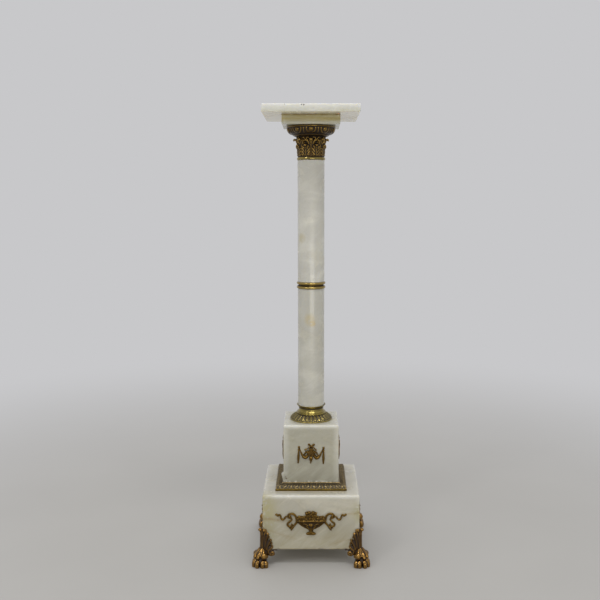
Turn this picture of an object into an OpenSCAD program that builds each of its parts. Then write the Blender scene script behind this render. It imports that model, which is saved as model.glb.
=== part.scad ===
// Onyx pedestal column with gilt bronze mounts, standing on four lion-paw feet.
// Millimetres, +Z up. The origin is on the floor under the column's axis, and the front faces -Y.

/* [Base block] */
// Width of the square onyx base block
base_w = 235; // [195:1:285]
// Height of the base block
base_h = 136; // [110:1:170]
// Clear height under the base block
foot_lift = 38; // [32:1:46]
// Radius along the top edges of the base block
base_round = 5; // [3:0.5:8]

/* [Paw feet] */
// Height of the leaf curl on top of each foot
foot_h = 95; // [85:1:115]
// Reach of each leaf wing along the block's face
wing_reach = 30; // [24:1:38]
// How far the leaf wings stand out from the block's faces
wing_t = 4; // [3:0.5:6]
// Distance from the block's corner to the tips of the middle toes
toe_reach = 30; // [26:1:36]
// Radius of each toe
toe_r = 5.2; // [4.8:0.1:6.5]
// Angle from one toe to the next, seen from above
toe_pitch = 37; // [33:1:40]
// Leg length of the triangular plate that carries the block's corner
plate_leg = 38; // [30:1:46]
// Thickness of that plate
plate_t = 3; // [2:0.5:5]

/* [Dado block] */
// Width of the square onyx block between moulding and column
dado_w = 131; // [108:1:158]
// Height of the dado block
dado_h = 160; // [130:1:190]
// Radius along the top edges of the dado block
dado_round = 4.5; // [3:0.5:7]
// Height of the broken corner piece at the bottom front left, glued back out of line
mend_h = 22; // [14:1:30]
// How far that piece stands out from the block's left face
mend_proud = 5; // [2:0.5:7]

/* [Leaf moulding] */
// Outside width of the square bronze moulding round the dado's foot
moulding_w = 175; // [165:1:200]
// Height of the moulding
moulding_h = 16; // [12:0.5:22]
// Height of the plain fillet along its bottom edge
fillet_h = 6; // [4:0.5:8]
// Clearance between the moulding and the dado block
moulding_gap = 0.3; // [0.1:0.1:1]

/* [Shaft] */
// Diameter of both onyx drums
shaft_d = 66; // [55:0.5:80]
// Length of the lower drum
lower_h = 298; // [240:1:360]
// Length of the upper drum
upper_h = 296.5; // [240:0.5:360]
// Height of the bronze ring between the drums
ring_h = 16.5; // [14:0.5:22]
// Thickness of each of the ring's two beads
bead_d = 5.8; // [4.5:0.1:6.5]
// How far the beads stand out from the drums
bead_proud = 2.75; // [2:0.25:4]

/* [Shaft base] */
// Diameter of the spreading bronze foot under the lower drum
sbase_d = 108; // [98:1:118]
// Height from the dado block to the seat of the lower drum
sbase_h = 33; // [28:1:40]
// Height of the lip that rings the drum above its seat
lip_h = 4; // [3:0.5:6]
// Thickness of the lip at its top
lip_t = 1.6; // [1.2:0.1:2.5]
// Clearance between the lip and the drum
drum_gap = 0.3; // [0.1:0.1:0.8]

/* [Capital] */
// Height of the bronze capital
capital_h = 81; // [70:1:95]
// Diameter of the echinus at its rim
echinus_d = 120.5; // [105:1:130]
// Height of the egg-carved echinus with its rim
echinus_h = 24; // [20:1:30]
// Height of the plain ring at the capital's foot
necking_h = 7.5; // [6:0.5:10]
// How far the tips of the acanthus leaves curl out from the bell
leaf_curl = 9; // [6:0.5:12]
// Number of tall acanthus leaves, with as many short ones between them
leaf_n = 8; // [6:1:8]
// Number of eggs round the echinus
egg_n = 10; // [8:1:14]

/* [Top] */
// Width of the small square onyx block on the capital
neck_block_w = 138; // [125:1:150]
// Height of that block
neck_block_h = 23; // [18:1:30]
// Width of the square onyx top slab
slab_w = 228; // [200:1:280]
// Thickness of the top slab
slab_h = 18; // [14:1:26]
// Radius along the slab's edges
slab_round = 2; // [1:0.5:4]

/* [Bronze mounts] */
// Half the span between the two posts of the ribbon swag
swag_half = 31; // [26:1:36]
// Height of the swag mount's centre above the base block
swag_z = 88; // [78:1:105]
// Half the width of the urn's bowl
bowl_half = 35.5; // [30:0.5:40]
// Height of the urn's rim above the underside of the base block
urn_z = 73; // [60:1:85]
// Thickness of the flat relief
relief_t = 3.2; // [2.5:0.1:4]

/* [Hidden] */

onyx = [0.86, 0.86, 0.78];
gilt = [0.62, 0.45, 0.17];

// Heights of the joints between the pieces, from the floor up
base_top = foot_lift + base_h;
dado_top = base_top + dado_h;
lower_z = dado_top + sbase_h;
ring_z = lower_z + lower_h;
upper_z = ring_z + ring_h;
capital_z = upper_z + upper_h;
neck_block_z = capital_z + capital_h;
slab_z = neck_block_z + neck_block_h;

shaft_r = shaft_d / 2;
$fn = 64;

// ---- Curves ----

function mix(a, b, t) = a + (b - a) * t;
function clamp01(t) = max(0, min(1, t));
function smooth(t) = let (c = clamp01(t)) c * c * (3 - 2 * c);

// A point on the cubic curve through four control points
function bezier(p, t) =
    pow(1 - t, 3) * p[0] + 3 * t * pow(1 - t, 2) * p[1] + 3 * t * t * (1 - t) * p[2] + pow(t, 3) * p[3];

// The outline of a band of varying width that follows a line of points
function band(line, widths) =
    let (
        last = len(line) - 1,
        side = [for (i = [0:last])
            let (d = line[min(i + 1, last)] - line[max(i - 1, 0)])
            [-d[1], d[0]] / norm(d) * widths[i] / 2]
    )
    concat([for (i = [0:last]) line[i] + side[i]], [for (i = [last:-1:0]) line[i] - side[i]]);

// ---- Onyx blocks ----

module rounded_square(w, r) {
    square([w - 2 * r, w], center = true);
    square([w, w - 2 * r], center = true);
    for (x = [-1, 1], y = [-1, 1])
        translate([x, y] * (w / 2 - r)) circle(r);
}

// The side view of a block whose top edges are rounded
module block_side(w, h, r) {
    translate([-w / 2, 0]) square([w, h - r]);
    translate([r - w / 2, 0]) square([w - 2 * r, h]);
    for (x = [-1, 1])
        translate([x * (w / 2 - r), h - r]) circle(r);
}

module onyx_block(w, h, edge_r, top_r) {
    intersection() {
        linear_extrude(h) rounded_square(w, edge_r);
        for_side(0, w, h, top_r);
        for_side(90, w, h, top_r);
    }
}

module for_side(turn, w, h, r) {
    rotate(turn) rotate([90, 0, 0])
        linear_extrude(2 * w, center = true) block_side(w, h, r);
}

module top_slab() {
    color(onyx) translate([0, 0, slab_z]) onyx_block(slab_w, slab_h, slab_round, slab_round);
}

module neck_block() {
    color(onyx) translate([0, 0, neck_block_z])
        linear_extrude(neck_block_h) rounded_square(neck_block_w, 1.5);
}

// The broken corner sits on the moulding and leans out of line with the block's left face
module mended_corner() {
    low = moulding_h + 0.5;
    translate([-dado_w / 2, 14 - dado_w / 2, low])
        rotate([90, 0, 0])
            linear_extrude(12)
                polygon([[3, 0], [-mend_proud * 0.8, 0], [-mend_proud, mend_h * 0.3], [-mend_proud * 0.7, mend_h * 0.7],
                         [0, mend_h], [3, mend_h]]);
}

module dado_block() {
    color(onyx) translate([0, 0, base_top]) {
        difference() {
            onyx_block(dado_w, dado_h, 2, dado_round);
            translate([5 - dado_w / 2, -dado_w / 2 - 0.8, moulding_h + mend_h * 0.45]) sphere(2.6);
        }
        mended_corner();
    }
}

// Nicks along the bottom front edge: distance from the middle, and radius
nicks = [[24, 4.2], [61, 3], [-80, 3.4]];

module base_block() {
    color(onyx) translate([0, 0, foot_lift])
        difference() {
            onyx_block(base_w, base_h, 3, base_round);
            for (n = nicks)
                translate([n[0], -base_w / 2 - n[1] * 0.35, -n[1] * 0.25]) sphere(n[1]);
        }
}

// ---- Drums and turned bronze ----

module shaft_lower() {
    color(onyx) translate([0, 0, lower_z]) cylinder(h = lower_h, d = shaft_d);
}

module shaft_upper() {
    color(onyx) translate([0, 0, upper_z]) cylinder(h = upper_h, d = shaft_d);
}

module shaft_ring() {
    bead_at = shaft_r + bead_proud - bead_d / 2;
    waist_r = shaft_r - 1.7;
    color(gilt) translate([0, 0, ring_z])
        rotate_extrude() {
            square([waist_r, ring_h]);
            for (z = [bead_d / 2, ring_h - bead_d / 2])
                translate([bead_at, z]) circle(d = bead_d);
            for (z = [0, ring_h - bead_d])
                translate([0, z]) square([bead_at, bead_d]);
        }
}

// Outline of the spreading foot: a rounded leaf band, a hollow neck and a thin flaring lip
function sbase_outline() =
    let (
        foot_r = sbase_d / 2,
        neck_r = shaft_r - 1.8,
        edge_h = 2.5,
        band_top = sbase_h * 0.52,
        shoulder_r = mix(neck_r, foot_r, 0.32),
        cup_r = shaft_r + drum_gap,
        lip_top = sbase_h + lip_h
    )
    concat(
        [[0, 0], [foot_r, 0]],
        [for (i = [0:8]) let (a = 90 * i / 8)
            [mix(shoulder_r, foot_r, cos(a)), mix(edge_h, band_top, sin(a))]],
        [for (i = [1:12])
            bezier([[shoulder_r - 1, band_top], [neck_r - 1, band_top + 2],
                    [neck_r - 1.5, lip_top - 8], [cup_r + lip_t, lip_top]], i / 12)],
        [[cup_r, lip_top], [cup_r, sbase_h], [0, sbase_h]]
    );

module shaft_base() {
    color(gilt) translate([0, 0, dado_top]) rotate_extrude() polygon(sbase_outline());
}

// ---- Leaf moulding ----

// Half of its cross-section: a plain fillet below, then a hollow-and-round curve up to the block
function moulding_outline() =
    let (
        out = moulding_w / 2,
        step_in = 1.6,
        top_in = dado_w / 2 + moulding_gap + 3
    )
    concat(
        [[out, 0], [out, fillet_h]],
        [for (i = [0:8])
            bezier([[out - step_in, fillet_h], [out - 4, moulding_h * 0.85],
                    [top_in + 9, fillet_h + 2], [top_in, moulding_h - 2]], i / 8)],
        [[top_in, moulding_h]]
    );

module moulding_side() {
    half = moulding_outline();
    last = len(half) - 1;
    polygon(concat(half, [for (i = [last:-1:0]) [-half[i][0], half[i][1]]]));
}

module leaf_moulding() {
    hole = dado_w + 2 * moulding_gap;
    color(gilt) translate([0, 0, base_top])
        difference() {
            intersection() {
                rotate([90, 0, 0]) linear_extrude(2 * moulding_w, center = true) moulding_side();
                rotate([90, 0, 90]) linear_extrude(2 * moulding_w, center = true) moulding_side();
            }
            translate([-hole / 2, -hole / 2, -1]) cube([hole, hole, moulding_h + 2]);
        }
}

// ---- Capital ----

cap_steps = 64;
cap_levels = 16;

bell_top = capital_h - echinus_h;
rim_h = 4.5;

// Radius of the plain capital under its carving, at height z
function cap_core(z) =
    z < necking_h ? shaft_r - 1 + 1.6 * sin(180 * z / necking_h) :
    z < bell_top ? let (t = (z - necking_h) / (bell_top - necking_h)) mix(shaft_r - 3.5, shaft_r + 2.5, pow(t, 4)) :
    z < capital_h - rim_h ?
        let (t = (z - bell_top) / (echinus_h - rim_h))
        mix(shaft_r + 2.5, echinus_d / 2, sqrt(1 - pow(1 - t, 2.2))) :
    echinus_d / 2 - (z > capital_h - 1 ? 1.2 : 0);

// Angle from the nearest of n rays, with the first ray at start
function from_ray(a, n, start) = let (p = 360 / n, d = (a - start) % p) d > p / 2 ? d - p : (d < -p / 2 ? d + p : d);

// One leaf: widest below its middle, scalloped edges, and a tip that curls outwards
function leaf_relief(da, z, half_angle, tall, thick, curl) =
    let (
        t = (z - necking_h) / tall,
        scallop = 1 - 0.16 * pow(cos(540 * t), 2),
        w = half_angle * scallop * sqrt(clamp01(1 - pow(clamp01(t), 3))),
        across = w > 0.5 ? 1 - pow(abs(da) / w, 2) : -1
    )
    t < 0 || t > 1.04 ? 0 :
    (across > 0 ? thick * sqrt(across) : 0) + curl * smooth((t - 0.75) / 0.2) * smooth(1 - abs(da) / 11);

// Half-round eggs in sunk frames on the echinus
function egg_relief(a, z) =
    let (
        t = (z - bell_top) / (echinus_h - rim_h),
        da = from_ray(a, egg_n, -90) * egg_n / 180,
        egg = 1 - pow(da / 0.62, 2) - pow((t - 0.66) / 0.42, 2)
    )
    t <= 0.1 || t >= 0.99 ? 0 : (egg > 0 ? 2 * sqrt(egg) : 0) - 1.4 * smooth(1 - abs(egg) / 0.4);

function cap_radius(a, z) =
    let (
        tall = bell_top - necking_h - 3,
        step = 360 / leaf_n
    )
    cap_core(z) + egg_relief(a, z)
    + (z < bell_top ? max(
        leaf_relief(from_ray(a, leaf_n, -90), z, 0.48 * step, tall, 2.4, leaf_curl),
        leaf_relief(from_ray(a, leaf_n, -90 + step / 2), z, 0.4 * step, tall * 0.62, 3.2, leaf_curl / 4)) : 0);

module capital() {
    zs = [for (i = [0:cap_levels]) capital_h * i / cap_levels];
    ring = function (i) [for (k = [0:cap_steps - 1])
        let (a = 360 * k / cap_steps, r = cap_radius(a, zs[i])) [r * cos(a), r * sin(a), zs[i]]];
    points = concat([for (i = [0:cap_levels]) each ring(i)], [[0, 0, 0], [0, 0, capital_h]]);
    at = function (i, k) i * cap_steps + k % cap_steps;
    foot = len(points) - 2;
    head = len(points) - 1;
    faces = concat(
        [for (i = [0:cap_levels - 1], k = [0:cap_steps - 1]) [at(i, k), at(i + 1, k), at(i + 1, k + 1)]],
        [for (i = [0:cap_levels - 1], k = [0:cap_steps - 1]) [at(i, k), at(i + 1, k + 1), at(i, k + 1)]],
        [for (k = [0:cap_steps - 1]) [foot, at(0, k), at(0, k + 1)]],
        [for (k = [0:cap_steps - 1]) [head, at(cap_levels, k + 1), at(cap_levels, k)]]
    );
    color(gilt) translate([0, 0, capital_z]) polyhedron(points, faces);
}

// ---- Paw feet ----

// Local frame of a foot: the block's corner is at the origin and the block lies on its +X +Y side.
// A place is given by its distance outwards along the diagonal, across it, and height.
function out_from_corner(along, across, z) = [(across - along) / sqrt(2), (-across - along) / sqrt(2), z];

module ball(p, r) {
    translate(p) sphere(r, $fn = 8);
}

module limb(a, b, ra, rb) {
    hull() {
        ball(a, ra);
        ball(b, rb);
    }
}

// Four toes and a pad at each side stand round the heel in an arc. Each toe has a long knuckle
// above it that rises to the block's corner.
module toes() {
    heel_at = 4;
    arc = toe_reach - heel_at - toe_r;
    for (i = [-2.5:1:2.5]) {
        a = i * toe_pitch;
        toe = [heel_at + arc * cos(a), arc * sin(a)];
        limb(out_from_corner(toe[0], toe[1], toe_r * 0.8),
             out_from_corner(toe[0] * 0.88, toe[1] * 0.9, foot_lift * (abs(i) < 2 ? 0.37 : 0.3)), toe_r, toe_r);
        if (abs(i) < 2)
            limb(out_from_corner(toe[0] * 0.7, toe[1] * 0.76, foot_lift * 0.7),
                 out_from_corner(2, toe[1] * 0.3, foot_lift * 1.05), toe_r * 1.25, toe_r * 0.9);
    }
    // the heel joins the pads to the knuckles
    limb(out_from_corner(arc * 0.45, -arc * 0.42, foot_lift * 0.32),
         out_from_corner(arc * 0.45, arc * 0.42, foot_lift * 0.32), toe_r * 1.8, toe_r * 1.8);
}

// Outline of the leaf wing on one face, from the corner outwards, with its edge cut into lobes
wing_lobes = 4;
wing_low = 16;

function wing_edge(t) = bezier([[wing_reach - 6, wing_low], [wing_reach + 5, foot_lift + 4],
                                [wing_reach - 10, foot_h - 30], [3, foot_h]], t);

function wing_outline() =
    let (n = wing_lobes * 6)
    concat(
        [[-wing_t, foot_h], [-wing_t, foot_lift], [2, wing_low]],
        [for (i = [0:n])
            let (t = i / n, dip = 1 - pow(abs(sin(180 * t * wing_lobes)), 0.5), p = wing_edge(t))
            [p[0] - 3.5 * dip, p[1] - 2 * dip]]
    );

// The wing stands against the block's front face, with one rib for each lobe
module wing() {
    rotate([90, 0, 0]) linear_extrude(wing_t) polygon(wing_outline());
    for (k = [1:wing_lobes - 1]) {
        tip = wing_edge((k + 0.45) / wing_lobes);
        limb([1 + k, -wing_t, foot_lift - 4], [tip[0] - 3, -wing_t, tip[1] - 3], 2.6, 1.8);
    }
    ball([4, -wing_t - 0.5, foot_h - 7], 4);
}

module corner_plate() {
    translate([0, 0, foot_lift - plate_t])
        linear_extrude(plate_t) polygon([[-4, -4], [plate_leg, 0.5], [0.5, plate_leg]]);
}

module foot() {
    cut = base_w;
    difference() {
        union() {
            toes();
            wing();
            mirror([1, -1, 0]) wing();
            corner_plate();
            limb(out_from_corner(1, 0, foot_lift), out_from_corner(1, 0, foot_h - 8), wing_t + 1, wing_t);
            ball(out_from_corner(7, 0, foot_h - 4.5), 4.4);
        }
        translate([0, 0, foot_lift]) cube([cut, cut, base_h]);
        translate([-cut, -cut, -cut]) cube([2 * cut, 2 * cut, cut]);
    }
}

module placed_foot(quarter) {
    color(gilt) rotate(90 * quarter) translate([-base_w / 2, -base_w / 2, 0]) foot();
}

module foot_front_left() { placed_foot(0); }
module foot_front_right() { placed_foot(1); }
module foot_back_right() { placed_foot(2); }
module foot_back_left() { placed_foot(3); }

// ---- Flat bronze mounts on the blocks' faces ----

// Lays a relief drawn in the XY plane on a block's face, with its back against the stone
module on_face(quarter, w, z) {
    color(gilt) rotate(90 * quarter) translate([0, -w / 2, z]) rotate([90, 0, 0]) children();
}

module relief(t = relief_t) {
    linear_extrude(t) children();
}

// A round boss that stands on the face
module boss(p, r) {
    translate(p) intersection() {
        sphere(r);
        translate([-r, -r, 0]) cube([2 * r, 2 * r, r]);
    }
}

// A hanging husk or tassel: half of a turned spindle
module husk(p, length, r) {
    translate(p) intersection() {
        rotate([90, 0, 0]) rotate_extrude()
            polygon([[0, 0], [r * 0.45, length * 0.06], [r * 0.6, length * 0.3], [r, length * 0.62],
                     [r * 0.55, length * 0.9], [0, length]]);
        translate([-2 * r, -length - 1, 0]) cube([4 * r, length + 2, 2 * r]);
    }
}

module ribbon(controls, w0, w1) {
    steps = 10;
    line = [for (i = [0:steps]) bezier(controls, i / steps)];
    relief() polygon(band(line, [for (i = [0:steps]) mix(w0, w1, sin(180 * i / steps))]));
}

module both_sides() {
    children();
    mirror([1, 0, 0]) children();
}

// A ribbon bow over a bunch of flowers, with two swags that hang from posts and husks below
module swag() {
    both_sides() {
        ribbon([[swag_half, 14], [23, -12], [14, -20], [6, 0]], 2.4, 7.6);
        ribbon([[1, 17], [4, 15], [8, 15], [14, 10]], 2.4, 2);
        boss([swag_half, 15.5, 0], 3);
        husk([swag_half, 14, 0], 38, 3.2);
        difference() {
            relief(relief_t + 1) translate([6, 22]) circle(4.4);
            translate([6, 22, -1]) cylinder(h = relief_t + 3, r = 1.9);
        }
        boss([7, 4, 0], 4);
    }
    relief() translate([-9, -3]) square([18, 13]);
    relief() translate([-2, 8]) square([4, 9]);
    boss([0, 18, 0], 3.6);
    boss([0, 4, 0], 6);
    husk([0, -2, 0], 21.5, 4.8);
}

// Outline of the urn below its rim: bowl, stem and foot
function urn_side() =
    concat(
        [for (i = [0:8]) let (a = 90 * i / 8) [mix(3, bowl_half, pow(cos(a), 0.75)), -20 * sin(a)]],
        [[3, -25], [11.3, -28], [11.3, -33]]
    );

// A footed bowl of flowers between two scroll handles tied with trailing ribbons
module urn() {
    half = urn_side();
    last = len(half) - 1;
    relief(relief_t + 1.5)
        polygon(concat(half, [for (i = [last:-1:0]) [-half[i][0], half[i][1]]]));
    relief(relief_t + 2.5) translate([-bowl_half, -1]) square([2 * bowl_half, 2.4]);
    relief() translate([-bowl_half + 2, 1]) square([2 * bowl_half - 4, 7]);
    for (x = [-24, -9, 0, 9, 24])
        boss([x, abs(x) < 10 ? 16 : 6, 0], 6.5);
    relief() translate([-12, 7]) square([24, 8]);
    both_sides() {
        ribbon([[bowl_half - 3, 1], [bowl_half + 2, 24], [54, 24], [54, 11]], 3, 4.4);
        boss([50.5, 11.5, 0], 5);
        ribbon([[53, 14], [62, 16], [64, -8], [72, 10]], 2.6, 2.8);
        ribbon([[71, 7], [76, 26], [80, 6], [86, 17]], 2.8, 2.6);
        ribbon([[50, 10], [44, 2], [66, -8], [48, -16]], 3, 3.6);
        ribbon([[bowl_half - 4, -2], [42, -14], [50, -14], [47.5, -26]], 2.6, 4);
    }
}

module swag_front() { on_face(0, dado_w, base_top + swag_z) swag(); }
module swag_right() { on_face(1, dado_w, base_top + swag_z) swag(); }
module swag_back() { on_face(2, dado_w, base_top + swag_z) swag(); }
module swag_left() { on_face(3, dado_w, base_top + swag_z) swag(); }

module urn_front() { on_face(0, base_w, foot_lift + urn_z) urn(); }
module urn_right() { on_face(1, base_w, foot_lift + urn_z) urn(); }
module urn_back() { on_face(2, base_w, foot_lift + urn_z) urn(); }
module urn_left() { on_face(3, base_w, foot_lift + urn_z) urn(); }

top_slab();
neck_block();
capital();
shaft_upper();
shaft_ring();
shaft_lower();
shaft_base();
dado_block();
leaf_moulding();
base_block();
foot_front_left();
foot_front_right();
foot_back_right();
foot_back_left();
swag_front();
swag_right();
swag_back();
swag_left();
urn_front();
urn_right();
urn_back();
urn_left();
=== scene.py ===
# %% [markdown]
# # An onyx pedestal with gilt bronze mounts
#
# This column carried a plant pot or a bust in a hall about the year 1880. Its body is onyx: pale banded
# stone, sawn, turned and polished. Between the stones stand bronze castings, gilt once and now rubbed
# back to brown in their hollows. The construction is loaded first, as a fixed frame in metres with the
# origin on the floor, and every piece below takes its place from it.

# %% Load the construction
import math

import bpy
import numpy as np
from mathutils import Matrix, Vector


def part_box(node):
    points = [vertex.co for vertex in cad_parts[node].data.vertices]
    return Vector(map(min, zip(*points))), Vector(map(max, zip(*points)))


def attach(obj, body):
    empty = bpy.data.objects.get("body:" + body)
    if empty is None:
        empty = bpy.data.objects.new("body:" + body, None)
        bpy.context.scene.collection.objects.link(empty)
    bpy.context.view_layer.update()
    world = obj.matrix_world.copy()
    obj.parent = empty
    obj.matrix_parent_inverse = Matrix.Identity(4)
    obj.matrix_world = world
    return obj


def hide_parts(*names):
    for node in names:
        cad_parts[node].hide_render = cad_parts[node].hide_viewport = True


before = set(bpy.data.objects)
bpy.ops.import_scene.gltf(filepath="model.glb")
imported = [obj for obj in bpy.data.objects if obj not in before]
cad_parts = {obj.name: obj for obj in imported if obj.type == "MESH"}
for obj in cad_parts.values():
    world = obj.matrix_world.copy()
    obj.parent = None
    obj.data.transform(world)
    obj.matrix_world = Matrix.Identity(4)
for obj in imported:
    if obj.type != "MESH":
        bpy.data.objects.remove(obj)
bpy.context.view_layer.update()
MM = 0.001
FRONT = -math.pi / 2


def levels(node):
    """Bottom and top of a piece of the construction, in millimetres above the floor."""
    low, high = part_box(node)
    return low[2] / MM, high[2] / MM


def half_width(node):
    low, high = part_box(node)
    return (high[0] - low[0]) / MM / 2


floor_gap, base_top = levels("base_block")
dado_top = levels("dado_block")[1]
drum_r, base_half, dado_half = (half_width(node) for node in ("shaft_lower", "base_block", "dado_block"))
print("base block", base_half * 2, "dado", dado_half * 2, "drum", drum_r * 2, "height", levels("top_slab")[1])

# %% [markdown]
# ## Wax on a grid
#
# A founder models each mount in wax before it is cast. The same can be done with numbers: a grid of points
# that each hold their distance to the surface, negative inside. Two shapes melt together where the smaller
# distance is taken, with a soft fillet between them. A skin is then wrapped round the places below zero,
# one corner in each grid cell that the surface crosses. Plain polygon modelling would need every leaf and
# toe stitched to the next by hand, and wax joins them by itself.

# %% Smooth lines for rods of wax
def bend(points, count):
    """A smooth line through given points, as a spline passes through its pegs."""
    p = np.array(points, float)
    p = np.concatenate([[2 * p[0] - p[1]], p, [2 * p[-1] - p[-2]]])
    out = []
    for t in np.linspace(0, len(p) - 3, count):
        k = min(int(t), len(p) - 4)
        f = t - k
        a, b, c, d = p[k:k + 4]
        out.append(0.5 * (2 * b + (c - a) * f + (2 * a - 5 * b + 4 * c - d) * f ** 2
                          + (3 * b - a - 3 * c + d) * f ** 3))
    return np.array(out)


def mirror(points, side):
    """Points on the right for side 1, and the same on the left for side -1."""
    return [(side * x, y, z) for x, y, z in points]


def clip(value):
    return np.clip(value, 0, 1)


print("a line through 3 pegs has", len(bend([(0, 0, 0), (1, 1, 0), (2, 0, 0)], 9)), "points")

# %% The wax and its tools
class Wax:
    def __init__(self, low, high, step):
        self.step = step
        self.lines = [np.arange(a - 2 * step, b + 3 * step, step, dtype=np.float32) for a, b in zip(low, high)]
        self.field = np.full([len(line) for line in self.lines], 9, np.float32)
        self.fold = None

    def region(self, low, high, margin):
        """The grid cells round a box. With a fold set, x and y wrap round the axis in equal sectors."""
        if self.fold:
            low, high = (-999, -999, low[2]), (999, 999, high[2])
        spans = tuple(slice(*np.searchsorted(line, (a - margin, b + margin)))
                      for line, a, b in zip(self.lines, low, high))
        x, y, z = np.ix_(*(line[span] for line, span in zip(self.lines, spans)))
        if self.fold:
            count, start = self.fold
            sector = 2 * math.pi / count
            turn = (np.arctan2(y, x) - start + sector / 2) % sector - sector / 2
            r = np.hypot(x, y)
            x, y = r * np.cos(turn), r * np.sin(turn)
        return spans, x, y, z

    def melt(self, spans, shape, soft, carve=False):
        old = self.field[spans]
        a, b = (-old, shape) if carve else (old, shape)
        share = clip(0.5 + 0.5 * (b - a) / max(soft, 1e-3))
        new = b + (a - b) * share - soft * share * (1 - share)
        self.field[spans] = -new if carve else new

    def bead(self, centre, radii, soft=1, carve=False):
        """An egg-shaped lump, or a dimple where carve is set."""
        radii = np.broadcast_to(np.array(radii, float), 3)
        c = np.array(centre, float)
        spans, x, y, z = self.region(c - radii, c + radii, soft + 2 * self.step)
        ux, uy, uz = (x - c[0]) / radii[0], (y - c[1]) / radii[1], (z - c[2]) / radii[2]
        k0 = np.sqrt(ux ** 2 + uy ** 2 + uz ** 2)
        k1 = np.sqrt((ux / radii[0]) ** 2 + (uy / radii[1]) ** 2 + (uz / radii[2]) ** 2) + 1e-6
        self.melt(spans, k0 * (k0 - 1) / k1, soft, carve)

    def stroke(self, points, radii, soft=1, press=1, carve=False):
        """A rod along a line of points. press below 1 flattens it from front to back, above 1 deepens it."""
        p = np.array(points, float)
        r = np.broadcast_to(np.array(radii, float), len(p))
        s = 1 / np.array((1, press, 1), float)
        spans, x, y, z = self.region(p.min(0) - r.max(), p.max(0) + r.max(), soft + 2 * self.step)
        best = 99.0
        for a, b, ra, rb in zip(p[:-1], p[1:], r[:-1], r[1:]):
            ab = (b - a) * s
            dx, dy, dz = (x - a[0]) * s[0], (y - a[1]) * s[1], (z - a[2]) * s[2]
            t = clip((dx * ab[0] + dy * ab[1] + dz * ab[2]) / (ab @ ab + 1e-9))
            far = np.sqrt((dx - t * ab[0]) ** 2 + (dy - t * ab[1]) ** 2 + (dz - t * ab[2]) ** 2)
            best = np.minimum(best, far - (ra + (rb - ra) * t))
        self.melt(spans, best, soft, carve)

    def limb(self, pegs, count, radii, soft=1, press=1, carve=False):
        """A rod along a smooth line through pegs. radii may be given at some of the line's points only."""
        line = bend(pegs, count)
        if isinstance(radii, dict):
            radii = np.interp(np.arange(count), list(radii), list(radii.values()))
        self.stroke(line, radii, soft, press, carve)
        return line

    def cut(self, axis, value=0, side=1):
        """Take away everything on one side of a plane."""
        shape = [1, 1, 1]
        shape[axis] = -1
        line = self.lines[axis].reshape(shape)
        self.field = np.maximum(self.field, (value - line) * side)

    def skin(self):
        """Wrap a closed skin of four-sided faces round the wax."""
        size = np.array(self.field.shape) - 1
        spots, owners, quads = [], [], []
        for axis in range(3):
            first, second = (self.field[tuple(slice(*ends) if k == axis else slice(None) for k in range(3))]
                             for ends in ((0, -1), (1, None)))
            cross = (first < 0) != (second < 0)
            at = np.argwhere(cross)
            a, b = first[cross], second[cross]
            spot = at.astype(np.float32)
            spot[:, axis] += a / (a - b)
            u, v = [k for k in range(3) if k != axis]
            around = []
            for du, dv in ((0, 0), (-1, 0), (-1, -1), (0, -1)):
                cell = at.copy()
                cell[:, u] += du
                cell[:, v] += dv
                around.append(cell @ np.array([size[1] * size[2], size[2], 1]))
                spots.append(spot)
                owners.append(around[-1])
            quad = np.stack(around, 1)
            flip = (a >= 0) != (axis == 1)
            quad[flip] = quad[flip][:, ::-1]
            quads.append(quad)
        spots, owners, quads = np.concatenate(spots), np.concatenate(owners), np.concatenate(quads)
        used, index = np.unique(owners, return_inverse=True)
        count = np.bincount(index)
        points = np.stack([np.bincount(index, spots[:, k]) / count for k in range(3)], 1)
        low = np.array([line[0] for line in self.lines])
        return points * self.step + low, np.searchsorted(used, quads)


print("wax tools ready")

# %% [markdown]
# ## From numbers to a mesh
#
# A fresh skin shows the steps of its grid a little, so its corners are drawn towards their neighbours and
# pushed back by nearly as much, which keeps the size. The same averaging tells hollows from ridges: where
# the averaged skin lies outside the true one there is a hollow. That is stored on the mesh as a number
# called hollow, and the bronze keeps its brown there, where no duster ever reached.

# %% Smooth a skin and find its hollows
def average(values, faces):
    """Each corner's mean of its neighbours along the edges."""
    near = np.concatenate([faces.ravel(), np.roll(faces, -1, axis=1).ravel()])
    far = np.concatenate([np.roll(faces, -1, axis=1).ravel(), faces.ravel()])
    count = np.maximum(np.bincount(near, minlength=len(values)), 1)
    return np.stack([np.bincount(near, values[far, k], len(values)) for k in range(3)], 1) / count[:, None]


def settle(points, faces):
    points = points + 0.5 * (average(points, faces) - points)
    return points - 0.52 * (average(points, faces) - points)


def outward(points, faces):
    """Unit normals at the corners."""
    across = np.cross(points[faces[:, 2]] - points[faces[:, 0]], points[faces[:, 3]] - points[faces[:, 1]])
    normal = np.zeros_like(points)
    for k in range(3):
        for c in range(4):
            normal[:, k] += np.bincount(faces[:, c], across[:, k], len(points))
    return normal / (np.linalg.norm(normal, axis=1, keepdims=True) + 1e-9)


def hollows(points, faces, rounds=(4, 16)):
    """Half way is flat, towards one is a hollow and towards zero is a ridge."""
    normal = outward(points, faces)
    blurred, total, done = points, 0, 0
    for target, strength in zip(rounds, (1.6, 0.9)):
        for _ in range(target - done):
            blurred = average(blurred, faces)
        done = target
        total = total + strength * np.einsum("ij,ij->i", blurred - points, normal)
    return clip(0.5 + total)


def cast(wax, rounds, floor=-math.inf):
    """The finished skin of a wax model, none of it below the floor, with its hollows."""
    points, faces = wax.skin()
    points = settle(points, faces)
    points[:, 2] = np.maximum(points[:, 2], floor)
    return points, faces, hollows(points, faces, rounds)


print("skins are smoothed and their hollows measured")

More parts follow.
